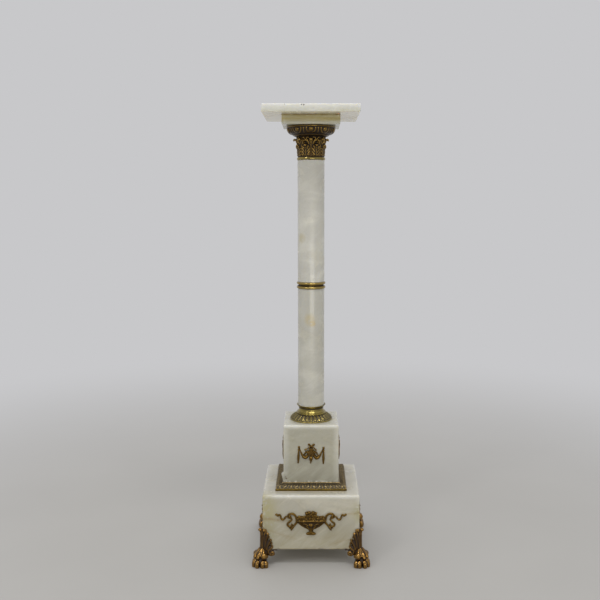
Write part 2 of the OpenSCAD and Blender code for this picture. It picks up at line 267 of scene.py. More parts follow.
# %% Turn arrays into pieces
def quarter_turn(points, quarter):
    """Turn points by a number of quarter turns about the column's axis."""
    x, y, z = points.T
    for _ in range(quarter):
        x, y = -y, x
    return np.stack([x, y, z], 1)


def loops(rows, around):
    """Faces between one ring of a stack and the next, and the two end rings that close it."""
    i, k = np.meshgrid(np.arange(rows - 1), np.arange(around), indexing="ij")
    k2 = (k + 1) % around
    faces = np.stack([i * around + k, i * around + k2, (i + 1) * around + k2, (i + 1) * around + k], 2)
    return faces.reshape(-1, 4), [list(range(around))[::-1], list(range((rows - 1) * around, rows * around))]


def make_piece(name, node, points, faces, finish, hollow=None, ends=()):
    mesh = bpy.data.meshes.new(name)
    faces = faces.tolist() + list(ends)
    mesh.from_pydata((points * MM).tolist(), [], faces)
    mesh.polygons.foreach_set("use_smooth", [True] * len(mesh.polygons))
    if hollow is not None:
        mesh.attributes.new("hollow", "FLOAT", "POINT").data.foreach_set("value", hollow.astype(np.float32))
    mesh.materials.append(finish)
    mesh.validate()
    piece = bpy.data.objects.new(name, mesh)
    bpy.context.scene.collection.objects.link(piece)
    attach(piece, "root")
    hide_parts(node)
    print(name, "made of", sum(len(f) - 2 for f in faces), "triangles")
    return piece


print("piece maker ready")

# %% [markdown]
# ## Finishes
#
# A material in Blender is a small graph of nodes. Each node does one sum, and the shader at the end turns
# colour, roughness and metal into light. Nothing here is a picture: veins, stains and wear are worked out
# from noise and from the place on the piece, so they hold at any distance.

# %% A short way to write node graphs
class Graph:
    def __init__(self, name):
        self.material = bpy.data.materials.new(name)
        self.material.use_nodes = True
        self.nodes, self.links = self.material.node_tree.nodes, self.material.node_tree.links
        self.shader = self.nodes["Principled BSDF"]
        self.place = self.nodes.new("ShaderNodeTexCoord").outputs["Object"]

    def put(self, socket, value):
        if isinstance(value, bpy.types.NodeSocket):
            self.links.new(value, socket)
        else:
            socket.default_value = value

    def finish(self, **values):
        """Set the shader's inputs by name, with an underscore for each space."""
        for name, value in values.items():
            self.put(self.shader.inputs[name.replace("_", " ")], value)

    def math(self, operation, *values):
        """One sum, or a chain of the same sum over more than two values."""
        total, rest = values[0], values[1:]
        for value in rest or (None,):
            node = self.nodes.new("ShaderNodeMath")
            node.operation = operation
            self.put(node.inputs[0], total)
            if value is not None:
                self.put(node.inputs[1], value)
            total = node.outputs[0]
        return total

    def times(self, *values):
        return self.math("MULTIPLY", *values) if len(values) > 1 else values[0]

    def plus(self, *values):
        return self.math("ADD", *values)

    def around_zero(self, noise, amount):
        """Noise moved to swing both ways, and scaled."""
        return self.times(self.math("SUBTRACT", noise, 0.5), amount)

    def scaled(self, stretch, shift=(0, 0, 0), turn=(0, 0, 0), aslant=False):
        """The place, stretched and then turned. With aslant it is turned first, so that streaks run aslant."""
        node = self.nodes.new("ShaderNodeMapping")
        if aslant:
            node.vector_type = "TEXTURE"
            stretch = tuple(1 / v for v in stretch)
        self.links.new(self.place, node.inputs["Vector"])
        for name, value in (("Scale", stretch), ("Location", shift), ("Rotation", turn)):
            node.inputs[name].default_value = value
        return node.outputs["Vector"]

    def noise(self, scale, detail, rough=0.5, twist=0, where=None):
        node = self.nodes.new("ShaderNodeTexNoise")
        self.links.new(where or self.place, node.inputs["Vector"])
        for name, value in (("Scale", scale), ("Detail", detail), ("Roughness", rough), ("Distortion", twist)):
            node.inputs[name].default_value = value
        return node.outputs["Fac"]

    def ramp(self, value, low, high, to_low=0, to_high=1):
        """Read a value between two limits, with soft ends."""
        node = self.nodes.new("ShaderNodeMapRange")
        node.interpolation_type = "SMOOTHSTEP"
        for name, v in (("Value", value), ("From Min", low), ("From Max", high),
                        ("To Min", to_low), ("To Max", to_high)):
            self.put(node.inputs[name], v)
        return node.outputs["Result"]

    def over(self, colour, coat, *shares):
        """Lay a coat of another colour over this one, as thick as all the shares multiplied."""
        node = self.nodes.new("ShaderNodeMix")
        node.data_type = "RGBA"
        self.put(node.inputs[0], self.times(*shares))
        for socket, c in ((node.inputs[6], colour), (node.inputs[7], coat)):
            self.put(socket, c if isinstance(c, bpy.types.NodeSocket) else (*c, 1))
        return node.outputs[2]

    def split(self, vector=None):
        node = self.nodes.new("ShaderNodeSeparateXYZ")
        self.links.new(vector or self.place, node.inputs[0])
        return node.outputs

    def bump(self, height, strength, distance):
        node = self.nodes.new("ShaderNodeBump")
        node.inputs["Strength"].default_value = strength
        node.inputs["Distance"].default_value = distance
        self.links.new(height, node.inputs["Height"])
        self.links.new(node.outputs["Normal"], self.shader.inputs["Normal"])


def shade(r, g, b):
    """A colour as it is seen on a screen, from 0 to 255, turned into amounts of light."""
    return tuple(((c / 255 + 0.055) / 1.055) ** 2.4 if c > 10 else c / 255 / 12.92 for c in (r, g, b))


def toned(colour, *by):
    return tuple(a * b for a, b in zip(colour, by))


print("graph tools ready")

# %% [markdown]
# ### Onyx
#
# Onyx is laid down in water as thin sheets, so it shows cloudy bands and a few rusty seams. Light enters it
# and comes out again nearby, which is why its edges glow. Subsurface scattering does that here, and the blocks
# also get a painted glow along their edges. The bands run aslant, and each stone is cut from another part of
# the block, so each has its own shift and turn.

# %% Bands, clouds and streaks of onyx
STREAK_TURN = (0.25, 0.87, 0.3)


def onyx(name, tint, shift, slant, cloud=0.5, streaks=0.5, stains=(), seams=(), node=None, **edges):
    """Polished onyx. node names a block whose edges and foot the finish follows, as edges says."""
    g = Graph(name)
    bands = g.noise(8, 5, 0.55, 1, g.scaled((1, 1, 2.6), shift, slant))
    clouds = g.noise(15, 6, 0.6, 0.4, g.scaled((1, 1, 1.3), (shift[2], shift[0], shift[1])))
    streak = g.noise(20, 6, 0.62, 0.5, g.scaled((2.8, 1.1, 0.6), shift, STREAK_TURN, aslant=True))
    fine = g.noise(60, 7, 0.65, 1.2, g.scaled((2, 1.2, 0.5), shift, STREAK_TURN, aslant=True))
    grain = g.noise(240, 3, 0.6)
    pale = tuple(min(0.82, c * 1.22) for c in tint)
    grey = toned(tint, 0.84, 0.85, 0.84)
    hair = g.math("ABSOLUTE", g.math("SUBTRACT", fine, 0.5))
    colour = tint
    for coat, layer, low, high, share in (
            (pale, bands, 0.4, 0.68, 0.8), (toned(tint, 0.90, 0.85, 0.66), clouds, 0.5, 0.76, cloud),
            (pale, streak, 0.54, 0.72, streaks), (grey, streak, 0.44, 0.28, streaks * 0.5),
            (toned(tint, 0.62, 0.56, 0.40), hair, 0.03, 0, 0.13), (grey, grain, 0.3, 0.7, 0.05)):
        colour = g.over(colour, coat, g.ramp(layer, low, high), share)
    jitter = g.noise(140, 3, 0.6)
    if node:
        colour = block_edges(g, colour, tint, clouds, streak, node, **edges)
    for stain in stains:
        colour = add_stain(g, colour, jitter, *stain)
    wander = g.noise(26, 4, 0.55)
    for seam in seams:
        colour = add_seam(g, colour, jitter, wander, *seam)
    g.finish(Base_Color=colour, Roughness=g.ramp(clouds, 0.3, 0.7, 0.16, 0.3), IOR=1.52,
             Subsurface_Weight=0.5, Subsurface_Radius=(1, 0.9, 0.62), Subsurface_Scale=0.007)
    g.bump(g.plus(g.times(clouds, 0.6), g.times(grain, 0.1)), 0.1, 0.0005)
    return g


print("onyx is mixed from five layers of noise")

# %% Edges, stains and seams of the stones
def block_edges(g, colour, tint, clouds, streak, node, foot_tint=(0.72, 0.67, 0.50), grime=0.6, filler=None):
    """Painted glow along the edges, a darker and yellower foot that is partly painted shade, a dark brown band at
    the bottom and painted light on the undersides. filler is the height in metres where its crumbs end.
    """
    x, y, z = g.split()
    up = g.split(g.nodes.new("ShaderNodeNewGeometry").outputs["Normal"])[2]
    (_, _, low), (half, _, high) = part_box(node)
    # painted highlight: the top edge, the corners and the rim of the top face are painted whiter, for the glow of
    # light soaking through the rounded edges
    far_x, far_y = g.math("ABSOLUTE", x), g.math("ABSOLUTE", y)
    top_edge = g.times(g.ramp(z, high - 0.013, high - 0.001), g.ramp(up, 0.95, 0.6))
    corner = g.times(g.ramp(g.math("MINIMUM", far_x, far_y), half - 0.016, half), 0.5)
    rim = g.times(g.ramp(g.math("MAXIMUM", far_x, far_y), half - 0.02, half), g.ramp(up, 0.6, 0.95), 0.5)
    light = g.math("MAXIMUM", top_edge, corner, rim)
    colour = g.over(colour, shade(222, 221, 214), light, g.ramp(clouds, 0.3, 0.6, 0.45, 0.8))
    # the block is painted darker and yellower towards the bottom, partly a yellow tone of the stone and partly
    # painted shade
    colour = g.over(colour, toned(tint, *foot_tint), g.ramp(z, low + (high - low) * 0.75, low),
                    g.ramp(streak, 0.3, 0.7, 0.75, 0.35))
    # a dark brown band along the bottom 3.5 mm of each block, darkest at the lowest edge
    colour = g.over(colour, shade(116, 94, 60), g.ramp(z, low + 0.0035, low), grime)
    # faces that look down are painted pale: painted light thrown up from the floor
    colour = g.over(colour, shade(238, 230, 204), g.ramp(up, -0.4, -0.9), 0.8)
    if filler:
        # crumbs of white filler in the joint with the bronze frame
        colour = g.over(colour, shade(226, 223, 213), g.ramp(g.noise(120, 3), 0.50, 0.60),
                        g.ramp(z, low + filler + 0.0006, low + filler - 0.0006, 0, 0.7))
    return colour


def add_stain(g, colour, jitter, place, radius, tone):
    """A ragged round stain. Its place and radius are in millimetres."""
    away = [g.math("SUBTRACT", c, v * MM) for c, v in zip(g.split(), place)]
    far = g.math("SQRT", g.plus(*(g.times(c, c) for c in away)))
    return g.over(colour, shade(*tone), g.ramp(far, radius * MM, radius * MM * 0.35), g.ramp(jitter, 0.25, 0.5))


def add_seam(g, colour, jitter, wander, x_from, x_to, height, rise, wave, strength):
    """A thin rusty line on the front, from one x to another, that climbs by rise and wanders."""
    x, y, z = g.split()
    course = g.plus(g.times(g.math("SUBTRACT", x, x_from), rise), height, g.around_zero(wander, wave))
    off = g.math("ABSOLUTE", g.math("SUBTRACT", z, course))
    line = g.times(g.ramp(off, 0.0017, 0), g.ramp(jitter, 0.3, 0.62))
    seam = g.math("MAXIMUM", line, g.times(g.ramp(off, 0.008, 0), 0.35))
    fade = g.ramp(x, x_to, x_to - (x_to - x_from) * 0.35)
    return g.over(colour, shade(140, 112, 50), seam, fade, g.ramp(y, -0.03, -0.08), strength)


# the stones' pale edges are a painted highlight
print("stones get rubbed edges, stains and seams")

# %% Five pale stones
onyx_slab = onyx(
    "polished onyx of the top slab", shade(206, 206, 198), (0.3, 0.1, 0.7), (0.2, 0.1, 0), cloud=0.4,
    node="top_slab", foot_tint=(0.90, 0.88, 0.76), grime=0.1,
    # the first two dark stains sit in chips of the front edge: painted shade in the breaks
    stains=(((-21.5, -114, 1098.5), 2.6, (70, 62, 50)), ((-16.5, -114, 1097.5), 3, (70, 62, 50)),
            ((-60, -114, 1099), 2.4, (120, 112, 96)))).material
onyx_upper = onyx(
    "onyx of the upper drum", shade(192, 190, 180), (2.1, 0.8, 0.5), (1.2, 0.3, 0), cloud=0.3, streaks=0.3,
    stains=(((-24, -24, 790), 16, (190, 183, 160)),)).material
onyx_lower = onyx(
    "onyx of the lower drum", shade(187, 185, 174), (0.6, 2.2, 1.1), (1.4, 0.1, 0), cloud=0.45, streaks=0.4,
    stains=(((-3, -33, 590), 20, (188, 179, 152)), ((4, -33, 580), 10, (190, 174, 136)))).material
onyx_dado = onyx(
    "onyx of the dado block", shade(171, 168, 152), (1.7, 1.1, 2.4), (0.9, 0.2, 0.3), streaks=0.6,
    # the dado's grey foot is painted shade above the leaf frame
    node="dado_block", foot_tint=(0.62, 0.62, 0.58), filler=0.019,
    stains=(((-60.5, -65.5, base_top + 25.5), 4.2, (92, 64, 30)),
            ((-63, -65.5, base_top + 30), 3, (128, 98, 56)),
            ((-66, -65.5, base_top + 34.5), 3, (128, 98, 56)))).material
onyx_base = onyx(
    "onyx of the base block", shade(182, 178, 163), (0.9, 1.9, 0.3), (0.5, 0.9, 0.2), streaks=0.95,
    node="base_block",
    stains=(((-132, -118, 135), 68, (176, 169, 132)), ((-128, -118, 80), 60, (168, 162, 134)),
            ((130, -118, 130), 42, (174, 168, 136))),
    seams=((-0.118, 0, 0.115, -0.06, 0.012, 0.8), (0.118, 0.062, 0.132, 0.10, 0.012, 0.6),
           (-0.118, -0.02, 0.090, -0.32, 0.02, 0.3), (0.118, 0.03, 0.070, 0.22, 0.02, 0.35))).material
print("five pale onyx finishes ready")

# %% [markdown]
# The small block under the slab is another stone, olive onyx. It was cut across the bands, so it shows them
# as level stripes, and it is paler near its foot. A dark brown band along its top is partly brown grime and partly
# painted shade under the slab. The stripes are laid over the plain finish by taking the colour that reaches the
# shader and mixing more into it.

# %% Olive onyx under the slab
olive = onyx("olive onyx under the slab", shade(171, 159, 108), (1.3, 0.4, 0.2), (0, 0, 0), streaks=0.3)
z = olive.split()[2]
neck_low, neck_high = (v * MM for v in levels("neck_block"))
colour = olive.shader.inputs["Base Color"].links[0].from_socket
stripes = olive.noise(30, 4, 0.6, 0, olive.scaled((0.4, 0.4, 7)))
colour = olive.over(colour, shade(184, 178, 150), olive.ramp(stripes, 0.4, 0.65), 0.6)
colour = olive.over(colour, shade(186, 183, 164), olive.ramp(z, neck_low + 0.011, neck_low + 0.002))
# a dark brown band along the top: brown grime and painted shade under the slab
colour = olive.over(colour, shade(124, 104, 56), olive.ramp(z, neck_high - 0.0055, neck_high - 0.001),
                    olive.ramp(olive.noise(55, 4), 0.3, 0.6, 0.4, 0.9))
olive.finish(Base_Color=colour)
print("olive onyx ready")

# %% [markdown]
# ### Gilt bronze
#
# Gilding wears where hands and dusters rub it and stays where they can't, but the hollows fill with brown
# wax and dust. So the mesh's own hollow number chooses between gold and brown, and noise breaks up the
# border. The bare metal on the ridges is smoother than the brown in the hollows.

# %% Gilt bronze
def gilt_bronze(name, gold, brown, worn, smooth, dusty=0, coat=0, polished=None):
    """worn is how deep a hollow starts to be brown, and smooth is the roughness of the gold."""
    g = Graph(name)
    hollow = g.nodes.new("ShaderNodeAttribute")
    hollow.attribute_name = "hollow"
    patches = g.noise(38, 5, 0.6)
    specks = g.noise(420, 3, 0.6)
    depth = g.plus(hollow.outputs["Fac"], g.around_zero(patches, 0.32), g.around_zero(specks, 0.12))
    middle = tuple(0.4 * a + 0.6 * b for a, b in zip(gold, brown))
    colour = g.over(gold, middle, g.ramp(depth, worn - 0.2, worn + 0.06))
    colour = g.over(colour, brown, g.ramp(depth, worn - 0.02, worn + 0.24))
    colour = g.over(colour, toned(gold, 0.42, 0.34, 0.26), g.ramp(patches, 0.52, 0.74), 0.4)
    if dusty:
        colour = g.over(colour, shade(104, 98, 84), g.ramp(depth, worn + 0.02, worn + 0.3), dusty)
    rough = g.ramp(depth, worn - 0.1, worn + 0.3, smooth, 0.55)
    if polished:
        # plain rings and fillets between two heights were burnished, and stay bright
        low, high, bright = polished
        z = g.split()[2]
        plain = g.times(g.ramp(z, low * MM - 0.0004, low * MM + 0.0004),
                        g.ramp(z, high * MM + 0.0004, high * MM - 0.0004),
                        g.ramp(depth, worn + 0.45, worn + 0.15))
        colour = g.over(colour, g.over(bright, toned(bright, 0.6, 0.6, 0.6), g.ramp(patches, 0.42, 0.66)), plain)
        rough = g.plus(g.times(rough, g.math("SUBTRACT", 1, plain)), g.times(plain, 0.13))
    g.finish(Base_Color=colour, Metallic=g.ramp(depth, worn, worn + 0.4, 1, 0.55),
             Roughness=g.plus(rough, g.around_zero(specks, 0.16)), Coat_Weight=coat, Coat_Roughness=0.09)
    g.bump(g.plus(specks, g.times(patches, 0.5)), 0.15, 0.0004)
    return g.material


cap_low, cap_high = levels("capital")
sb_low, sb_high = levels("shaft_base")
mo_low, mo_high = levels("leaf_moulding")
bronze_feet = gilt_bronze("gilt bronze of the paws", shade(142, 108, 54), shade(52, 36, 22), 0.35, 0.13, coat=0.2)
bronze_capital = gilt_bronze("browned bronze of the capital", shade(140, 112, 56), shade(38, 27, 16), 0.39, 0.17,
                             coat=0.1, polished=(cap_low, cap_low + 7.2, shade(160, 142, 84)))
bronze_mounts = gilt_bronze("browned bronze of the flat mounts", shade(118, 91, 43), shade(40, 28, 15), 0.40, 0.19)
bronze_base = gilt_bronze("greenish gilding of the shaft base", shade(152, 136, 78), shade(48, 40, 27), 0.33, 0.11,
                          dusty=0.15, coat=0.15, polished=(sb_low + 15.4, sb_high + 1, shade(150, 134, 72)))
bronze_frame = gilt_bronze("dull bronze of the leaf frame", shade(138, 120, 82), shade(50, 42, 32), 0.40, 0.28,
                           dusty=0.5, polished=(mo_low - 1, mo_low + 5.4, shade(124, 102, 44)))
bronze_ring = gilt_bronze("rubbed gilt bronze of the ring", shade(164, 142, 84), shade(44, 34, 22), 0.62, 0.13)
print("six bronze finishes ready")

# %% [markdown]
# ## The lion-paw feet
#
# Each foot is one casting. A paw stands with its toes in an arc: two middle toes forward, and two broader
# ones behind them on each side. Knuckles rise from the toes to the block's corner, and acanthus leaves climb
# both faces from there and curl over at the tip. The wax is modelled with the block's corner at zero, the
# block on the plus side of x and y, and one half is mirrored across the diagonal.

# %% The toes
def from_corner(out, aside, height):
    """Out along the diagonal, sideways across it, and up."""
    return ((aside - out) / math.sqrt(2), (-aside - out) / math.sqrt(2), height)


def diagonal(points, side=1):
    return [from_corner(out, side * aside, height) for out, aside, height in points]


foot_top = levels("foot_front_left")[1]
paw = Wax((-31, -31, 0), (39, 39, foot_top), 0.92)
paw.bead(from_corner(6, 0, 12), (15.5, 15.5, 12), 0.5)
paw.bead(from_corner(5, 0, 26), (13.6, 13.6, 13), 1)
CLAWED = 17
# each toe by where it stands, out from the corner and to the side of the diagonal, by its thickness and top
for out, aside, thick, top, soft in ((22.6, 5.2, 5.5, 17.6, 0.9), (13.6, 14.2, 5.7, 17.4, 1),
                                     (6.6, 18.2, 6, 16, 3.2)):
    far = math.hypot(out - 3, aside)
    du, dv = (out - 3) / far, aside / far
    toe = [(out + u * du, aside + v * dv, height) for u, v, height in
           ((0.4, 0.4, 2.6), (0.4, 0.4, 9), (-2.4, -2, top - 4.4), (-6.5, -5.6, top - 3))]
    claw = [(out + u * du, aside + u * dv, height) for u, height in ((3.2, 11.5), (4.9, 7), (4.7, 1))]
    for side in (1, -1):
        paw.limb(diagonal(toe, side), 9, {0: thick, 3: thick * 1.02, 6: thick * 0.9, 8: thick * 0.8}, soft)
        # the claw is a short ridge down the middle of the toe
        if aside < CLAWED:
            paw.limb(diagonal(claw, side), 7, [1.2, 1.4, 1.5, 1.4, 1.2, 1, 0.8], 0.9)
print("six toes, four of them clawed, on", paw.field.size, "grid points")

# %% Knuckles, and the gaps between the toes
for side in (1, -1):
    # a long ridge over each middle toe with a thinner one beside it, and a round ball over each outer toe
    paw.limb(diagonal([(20.6, 5.2, 24.6), (17.8, 5, 28.8), (12, 4, 34.6), (6.6, 2.6, 43)], side), 10,
             {0: 4.2, 2: 4.6, 5: 3.6, 9: 2.2}, 1.2)
    paw.limb(diagonal([(15.6, 9.4, 29.4), (11.6, 8, 33.6), (6.6, 4.8, 42)], side), 8,
             {0: 2.6, 3: 2.9, 7: 2.0}, 1.2)
    paw.bead(from_corner(8.4, side * 13.4, 27.2), (7.8, 7.8, 7.4), 1.4)
    paw.bead(from_corner(2, side * 13.8, 25.6), (6.4, 6.4, 6.2), 3)
    paw.stroke(diagonal([(8, 12, 30), (4.2, 6.6, 40)], side), [5.4, 3], 2.4)
# the gaps are deep beside the middle pair, and a crease runs round under the knuckles
for out, aside, wide in ((27.4, 0, 1.7), (21.6, 12, 1.9), (21.6, -12, 1.9)):
    paw.stroke(diagonal([(out, aside, -1), (out, aside, 9), (out * 0.84, aside * 0.84, 18)]),
               [wide, wide, wide * 0.8], 1, carve=True)
for side in (1, -1):
    paw.stroke(diagonal([(20.4, 11.6, 20), (18.2, 10.4, 24), (13.6, 8.6, 33)], side), [1.2, 1.2, 0.8], 1.4,
               carve=True)
for a in np.linspace(-1.75, 1.75, 17):
    paw.bead(from_corner(4 + 20.6 * math.cos(a), 20.6 * math.sin(a), 20.4 - 0.7 * abs(a)), (2.6, 2.6, 1.2), 1.6,
             carve=True)
print("the paw now fills", int((paw.field < 0).sum()), "of them")

# %% Climb both faces with leaves
# each lobe's root, its way and its tip, as steps along the face and up it
lobes = [
    [(2, 38), (2.8, 60), (4.6, 76), (7.4, 87)],
    [(4.6, 36), (6.6, 54), (9.6, 67), (12.6, 78)],
    [(8, 34), (11.4, 46), (15.6, 54), (19.2, 62.6)],
    [(10.5, 31), (14.6, 37), (19, 41), (22.6, 46.6)],
]


def on_face(lobe, outs):
    """Lift a line off the block's face by a step for each of its points."""
    return [(x, -out, z) for (x, z), out in zip(lobe, outs)]


# the body of the leaf, one full sheet
for centre, radii in (((3, -0.8, 64), (9, 3.6, 27)), ((6.5, -0.8, 47), (12.5, 4, 21)),
                      ((11.5, -0.8, 37), (9.5, 3.8, 13))):
    paw.bead(centre, radii, 2)
for lobe in lobes:
    # a full tongue that swells towards the tip, and the tip rolled over
    line = paw.limb(on_face(lobe, (1.8, 2.2, 2.6, 2.6)), 12, {0: 2.6, 5: 3, 9: 3.6, 11: 3.3}, 1.8, press=0.85)
    tip = line[-1]
    paw.bead((tip[0], -2.9, tip[2] - 0.6), (3.3, 2.9, 4.2), 0.5)
    # a smaller lobe tucked under it
    if lobe is not lobes[-1]:
        paw.bead((tip[0] + 2.4, -1.8, tip[2] - 8.6), (2.6, 2.2, 3.8), 0.8)
# the leaf's foot sweeps down to the paw and ends in a scroll under the block
paw.limb([(9, -1, 44), (12, -1.4, 34), (14.6, -1.2, 28.5), (20, -1.6, 24)], 9,
         [4.4, 4.6, 4.6, 4.6, 4.4, 4.2, 4, 3.6, 3], 1.2, press=0.8)
paw.limb([(16, -1, 37), (20.5, -1.4, 35.5), (24.6, -1.4, 32)], 6, 3.4, 1, press=0.85)
paw.bead((23.6, -1.2, 28), (6.2, 3.4, 6.2), 0.8)
curl = [(23.8 + (6.0 - 0.56 * t) * math.cos(3.6 - t * 0.72), -3.6,
         28.0 + (6.0 - 0.56 * t) * math.sin(3.6 - t * 0.72)) for t in range(10)]
paw.stroke(curl, np.linspace(1.3, 1, 10), 0.6)
print(len(lobes), "lobes on each face, and wax in", int((paw.field < 0).sum()), "grid points")

# %% Ribs, grooves and the ridge on the corner
for lobe, after in zip(lobes, lobes[1:] + [None]):
    rib = bend(on_face([(x - 0.3, z) for x, z in lobe], (4.2, 4.9, 5.4, 5.2)), 14)
    paw.stroke(rib[2:13], np.interp(np.arange(11), [0, 6, 10], [0.6, 0.9, 0.7]), 1.1)
    if after:
        between = [((a[0] + b[0]) / 2 + 0.6, (a[1] + b[1]) / 2 + rise)
                   for a, b, rise in zip(lobe, after, (2, -2, -4, -7))]
        paw.limb(on_face(between, (4.9, 5.4, 5.8, 5)), 12, {0: 0.7, 5: 1, 11: 1.7}, 1.4, carve=True)
paw.limb(diagonal([(3.4, 0, 38), (2.6, 0, 60), (3, 0, 80), (6, 0, foot_top - 5)]), 12,
         {0: 5, 8: 4.4, 11: 3.8}, 0.9)
paw.bead(from_corner(8.2, 0, foot_top - 4.3), (4.6, 4.6, 4.3), 0.4)
paw.bead(from_corner(10.6, 0, foot_top - 9.4), (2.6, 2.6, 2), 0.9, carve=True)
paw.bead((3.4, -4.8, foot_top - 7.4), (3.9, 3.4, 4), 0.4)
for side in (1, -1):
    paw.limb(diagonal([(7.6, 2.6, 44), (6.9, 2.4, 62), (6.9, 2.3, 84)], side), 8, 1, 0.9, carve=True)
print("the corner's ridge rolls over at", round(foot_top, 1), "mm")

# %% Both halves alike, a plate under the block, and room for the block itself
paw.field = np.minimum(paw.field, paw.field.transpose(1, 0, 2))
PLATE = 1.5
spans, x, y, z = paw.region((-5, -5, floor_gap - 4), (39, 39, floor_gap), 2)
plate = np.maximum(np.maximum(x + y - 36, -np.minimum(x, y) - 0.2), np.abs(z - (floor_gap - PLATE)) - PLATE)
paw.melt(spans, plate, 0.8)
spans, x, y, z = paw.region((-2, -2, floor_gap - 2), (45, 45, 120), 2)
paw.field[spans] = np.maximum(paw.field[spans], -np.maximum(np.maximum(-x, -y), floor_gap - z))
paw.cut(2)
foot_points, foot_faces, foot_hollow = cast(paw, (4, 16), floor=0)
across, up = foot_points[:, :2].sum(1), foot_points[:, 2]
# the leaves were never rubbed as the toes are, and stay an even brown
leafy = 0.5 * clip((up - 38) / 8) * clip((foot_top - 14 - up) / 5)
foot_hollow = foot_hollow * (1 - leafy) + 0.60 * leafy
# the plate's top under the block is made fully brown and dull: painted shade under the block
foot_hollow[(up > floor_gap - 4) & (up < floor_gap + 1) & (across > 14)] = 1.0
print("a foot reaches from", foot_points.min(0).round(1), "to", foot_points.max(0).round(1))

# %% Cast the four feet
for quarter, node in enumerate(("foot_front_left", "foot_front_right", "foot_back_right", "foot_back_left")):
    placed = quarter_turn(foot_points - (base_half, base_half, 0), quarter)
    make_piece("paw_" + node, node, placed, foot_faces, bronze_feet, foot_hollow)

# %% [markdown]
# ## The flat mounts
#
# The dado wears a bow with two swags of leaves, and the base block an urn of flowers with ribbons for
# handles. Both are thin castings with flat backs. They are modelled face up in wax, x across, y out of the
# stone towards the viewer and z up, then stood against each of the four faces.

# %% Tools for swags and flowers
swag = Wax((-36, 0, -27), (36, 7, 28), 0.68)


def drape(side):
    """One swag from a post's head to the flowers, thick at its belly and made of short leaves."""
    line = bend([(29.5, 0, 15), (25, 0, 3.5), (20.6, 0, -5), (15.4, 0, -9.6), (10.4, 0, -7.6),
                 (6.4, 0, -0.5)], 17)
    thick = np.interp(np.arange(17), [0, 4, 8, 11, 14, 16], [1.3, 2, 3.6, 4.3, 3.9, 3])
    line[:, 0] *= side
    swag.stroke(line + (0, 0.6, 0), thick, 0.8, press=0.75)
    for k in range(4, 15):
        along = line[k + 1] - line[k - 1]
        along = along / np.linalg.norm(along)
        across = np.array([along[2], 0, -along[0]])
        for sway in (-1, 1):
            root = line[k] + (0, 0.6 + thick[k] * 0.62, 0)
            tip = root + across * thick[k] * 0.8 * sway - along * 2.2 - (0, 0.5, 0)
            swag.stroke([root, tip], [1.15, 0.8], 0.25)
    inner = mirror([(9, 1.2, 5.6), (13.2, 1.2, 3.2), (16, 1, -1.6), (17.6, 0.8, -5)], side)
    inner = swag.limb(inner, 8, np.linspace(2.9, 1.6, 8), 0.6, press=0.75)
    for spot in inner[1:7]:
        swag.bead(spot + (0, 1.8, 0.3), (1.3, 1, 1.3), 0.4)


def tassel(x, top, bottom, waist):
    """A hanging husk: a bead, a slim neck, a full body and a drop."""
    swag.bead((x - math.copysign(0.8, x), 1.2, top - 0.5), (3, 2.9, 3.1), 0.4)
    line = np.linspace((x - math.copysign(0.6, x), 0.9, top - 2), (x, 0.9, bottom + 3), 12)
    swag.stroke(line, [1.5, 1.6, 1.8, 2.1, 2.4, 2.7, waist, waist, waist, 2.8, 2.2, 1.8], 0.5, press=0.9)
    swag.bead((x, 0.9, bottom + 1.7), (1.9, 1.8, 1.9), 0.3)
    for z in (top - 6.5, bottom + 6):
        swag.stroke([(x - 1.7, 2.4, z), (x + 1.7, 2.4, z)], 0.8, 0.4)
    for turn in (-1, 0, 1):
        swag.stroke([(x + turn * 0.8, 2.9, top - 8), (x + turn * 1.9, 3.2, bottom + 14),
                     (x + turn * 0.8, 2.6, bottom + 6)], [0.5, 0.7, 0.5], 0.4)


def rosette(wax, x, z, r, petals, out):
    """A flower: a ring of petals round a button."""
    wax.bead((x, out * 0.4, z), (r * 0.85, out * 0.6, r * 0.85), 0.4)
    for k in range(petals):
        a = 2 * math.pi * (k + 0.25) / petals
        wax.bead((x + r * 0.68 * math.cos(a), out * 0.72, z + r * 0.68 * math.sin(a)),
                 (r * 0.46, out * 0.5, r * 0.46), 0.12)
    wax.bead((x, out * 1.05, z), (r * 0.32, r * 0.3, r * 0.32), 0.1)


print("swag wax has", swag.field.size, "grid points")

# %% Model the bow and swags
for side in (1, -1):
    drape(side)
    tassel(side * 31, 16.6, -25.2, 3.1)
    loop = [(side * (5.6 + 1.9 * math.cos(a)), 1.8 + 0.6 * math.sin(a), 23.2 + 1.7 * math.sin(a))
            for a in np.linspace(0, 2 * math.pi, 13)]
    swag.stroke(loop, 1.5, 0.3, press=0.8)
    swag.stroke(mirror([(1.2, 1.6, 19.6), (4.2, 1.6, 21.2)], side), [2, 1.5], 0.5)
for tail in ([(-2, 1.6, 18.4), (-5.6, 2.2, 16.2), (-9, 1.4, 13.2), (-12.2, 1.8, 11.4), (-15.2, 1.4, 9.6)],
             [(2, 1.6, 18.2), (5.6, 2.2, 16.2), (8.2, 1.4, 14), (11.8, 1.6, 10.6)]):
    swag.limb(tail, 12, {0: 1.5, 8: 1.6, 11: 2.2}, 0.3, press=0.7)
swag.bead((0, 2.2, 19.8), (2.7, 2.4, 2.9), 0.4)
swag.stroke([(0, 1, 18), (0, 0.8, 9), (0, 0.6, -1)], [2.4, 4, 4.2], 0.6, press=0.55)
swag.bead((0, 0.2, 3.4), (9.6, 2.2, 6.6), 0.6)
for x, z, r, petals in ((0, 4.4, 4.8, 6), (-7.4, 4.4, 4, 5), (7.4, 4.4, 4, 5), (-3.8, -2, 3.4, 5),
                        (3.8, -2, 3.4, 5), (-3, 11.4, 3, 5), (3, 11.4, 3, 5)):
    rosette(swag, x, z, r, petals, 4.2)
husk = np.linspace((0, 0.9, -4), (0, 0.9, -20.6), 9)
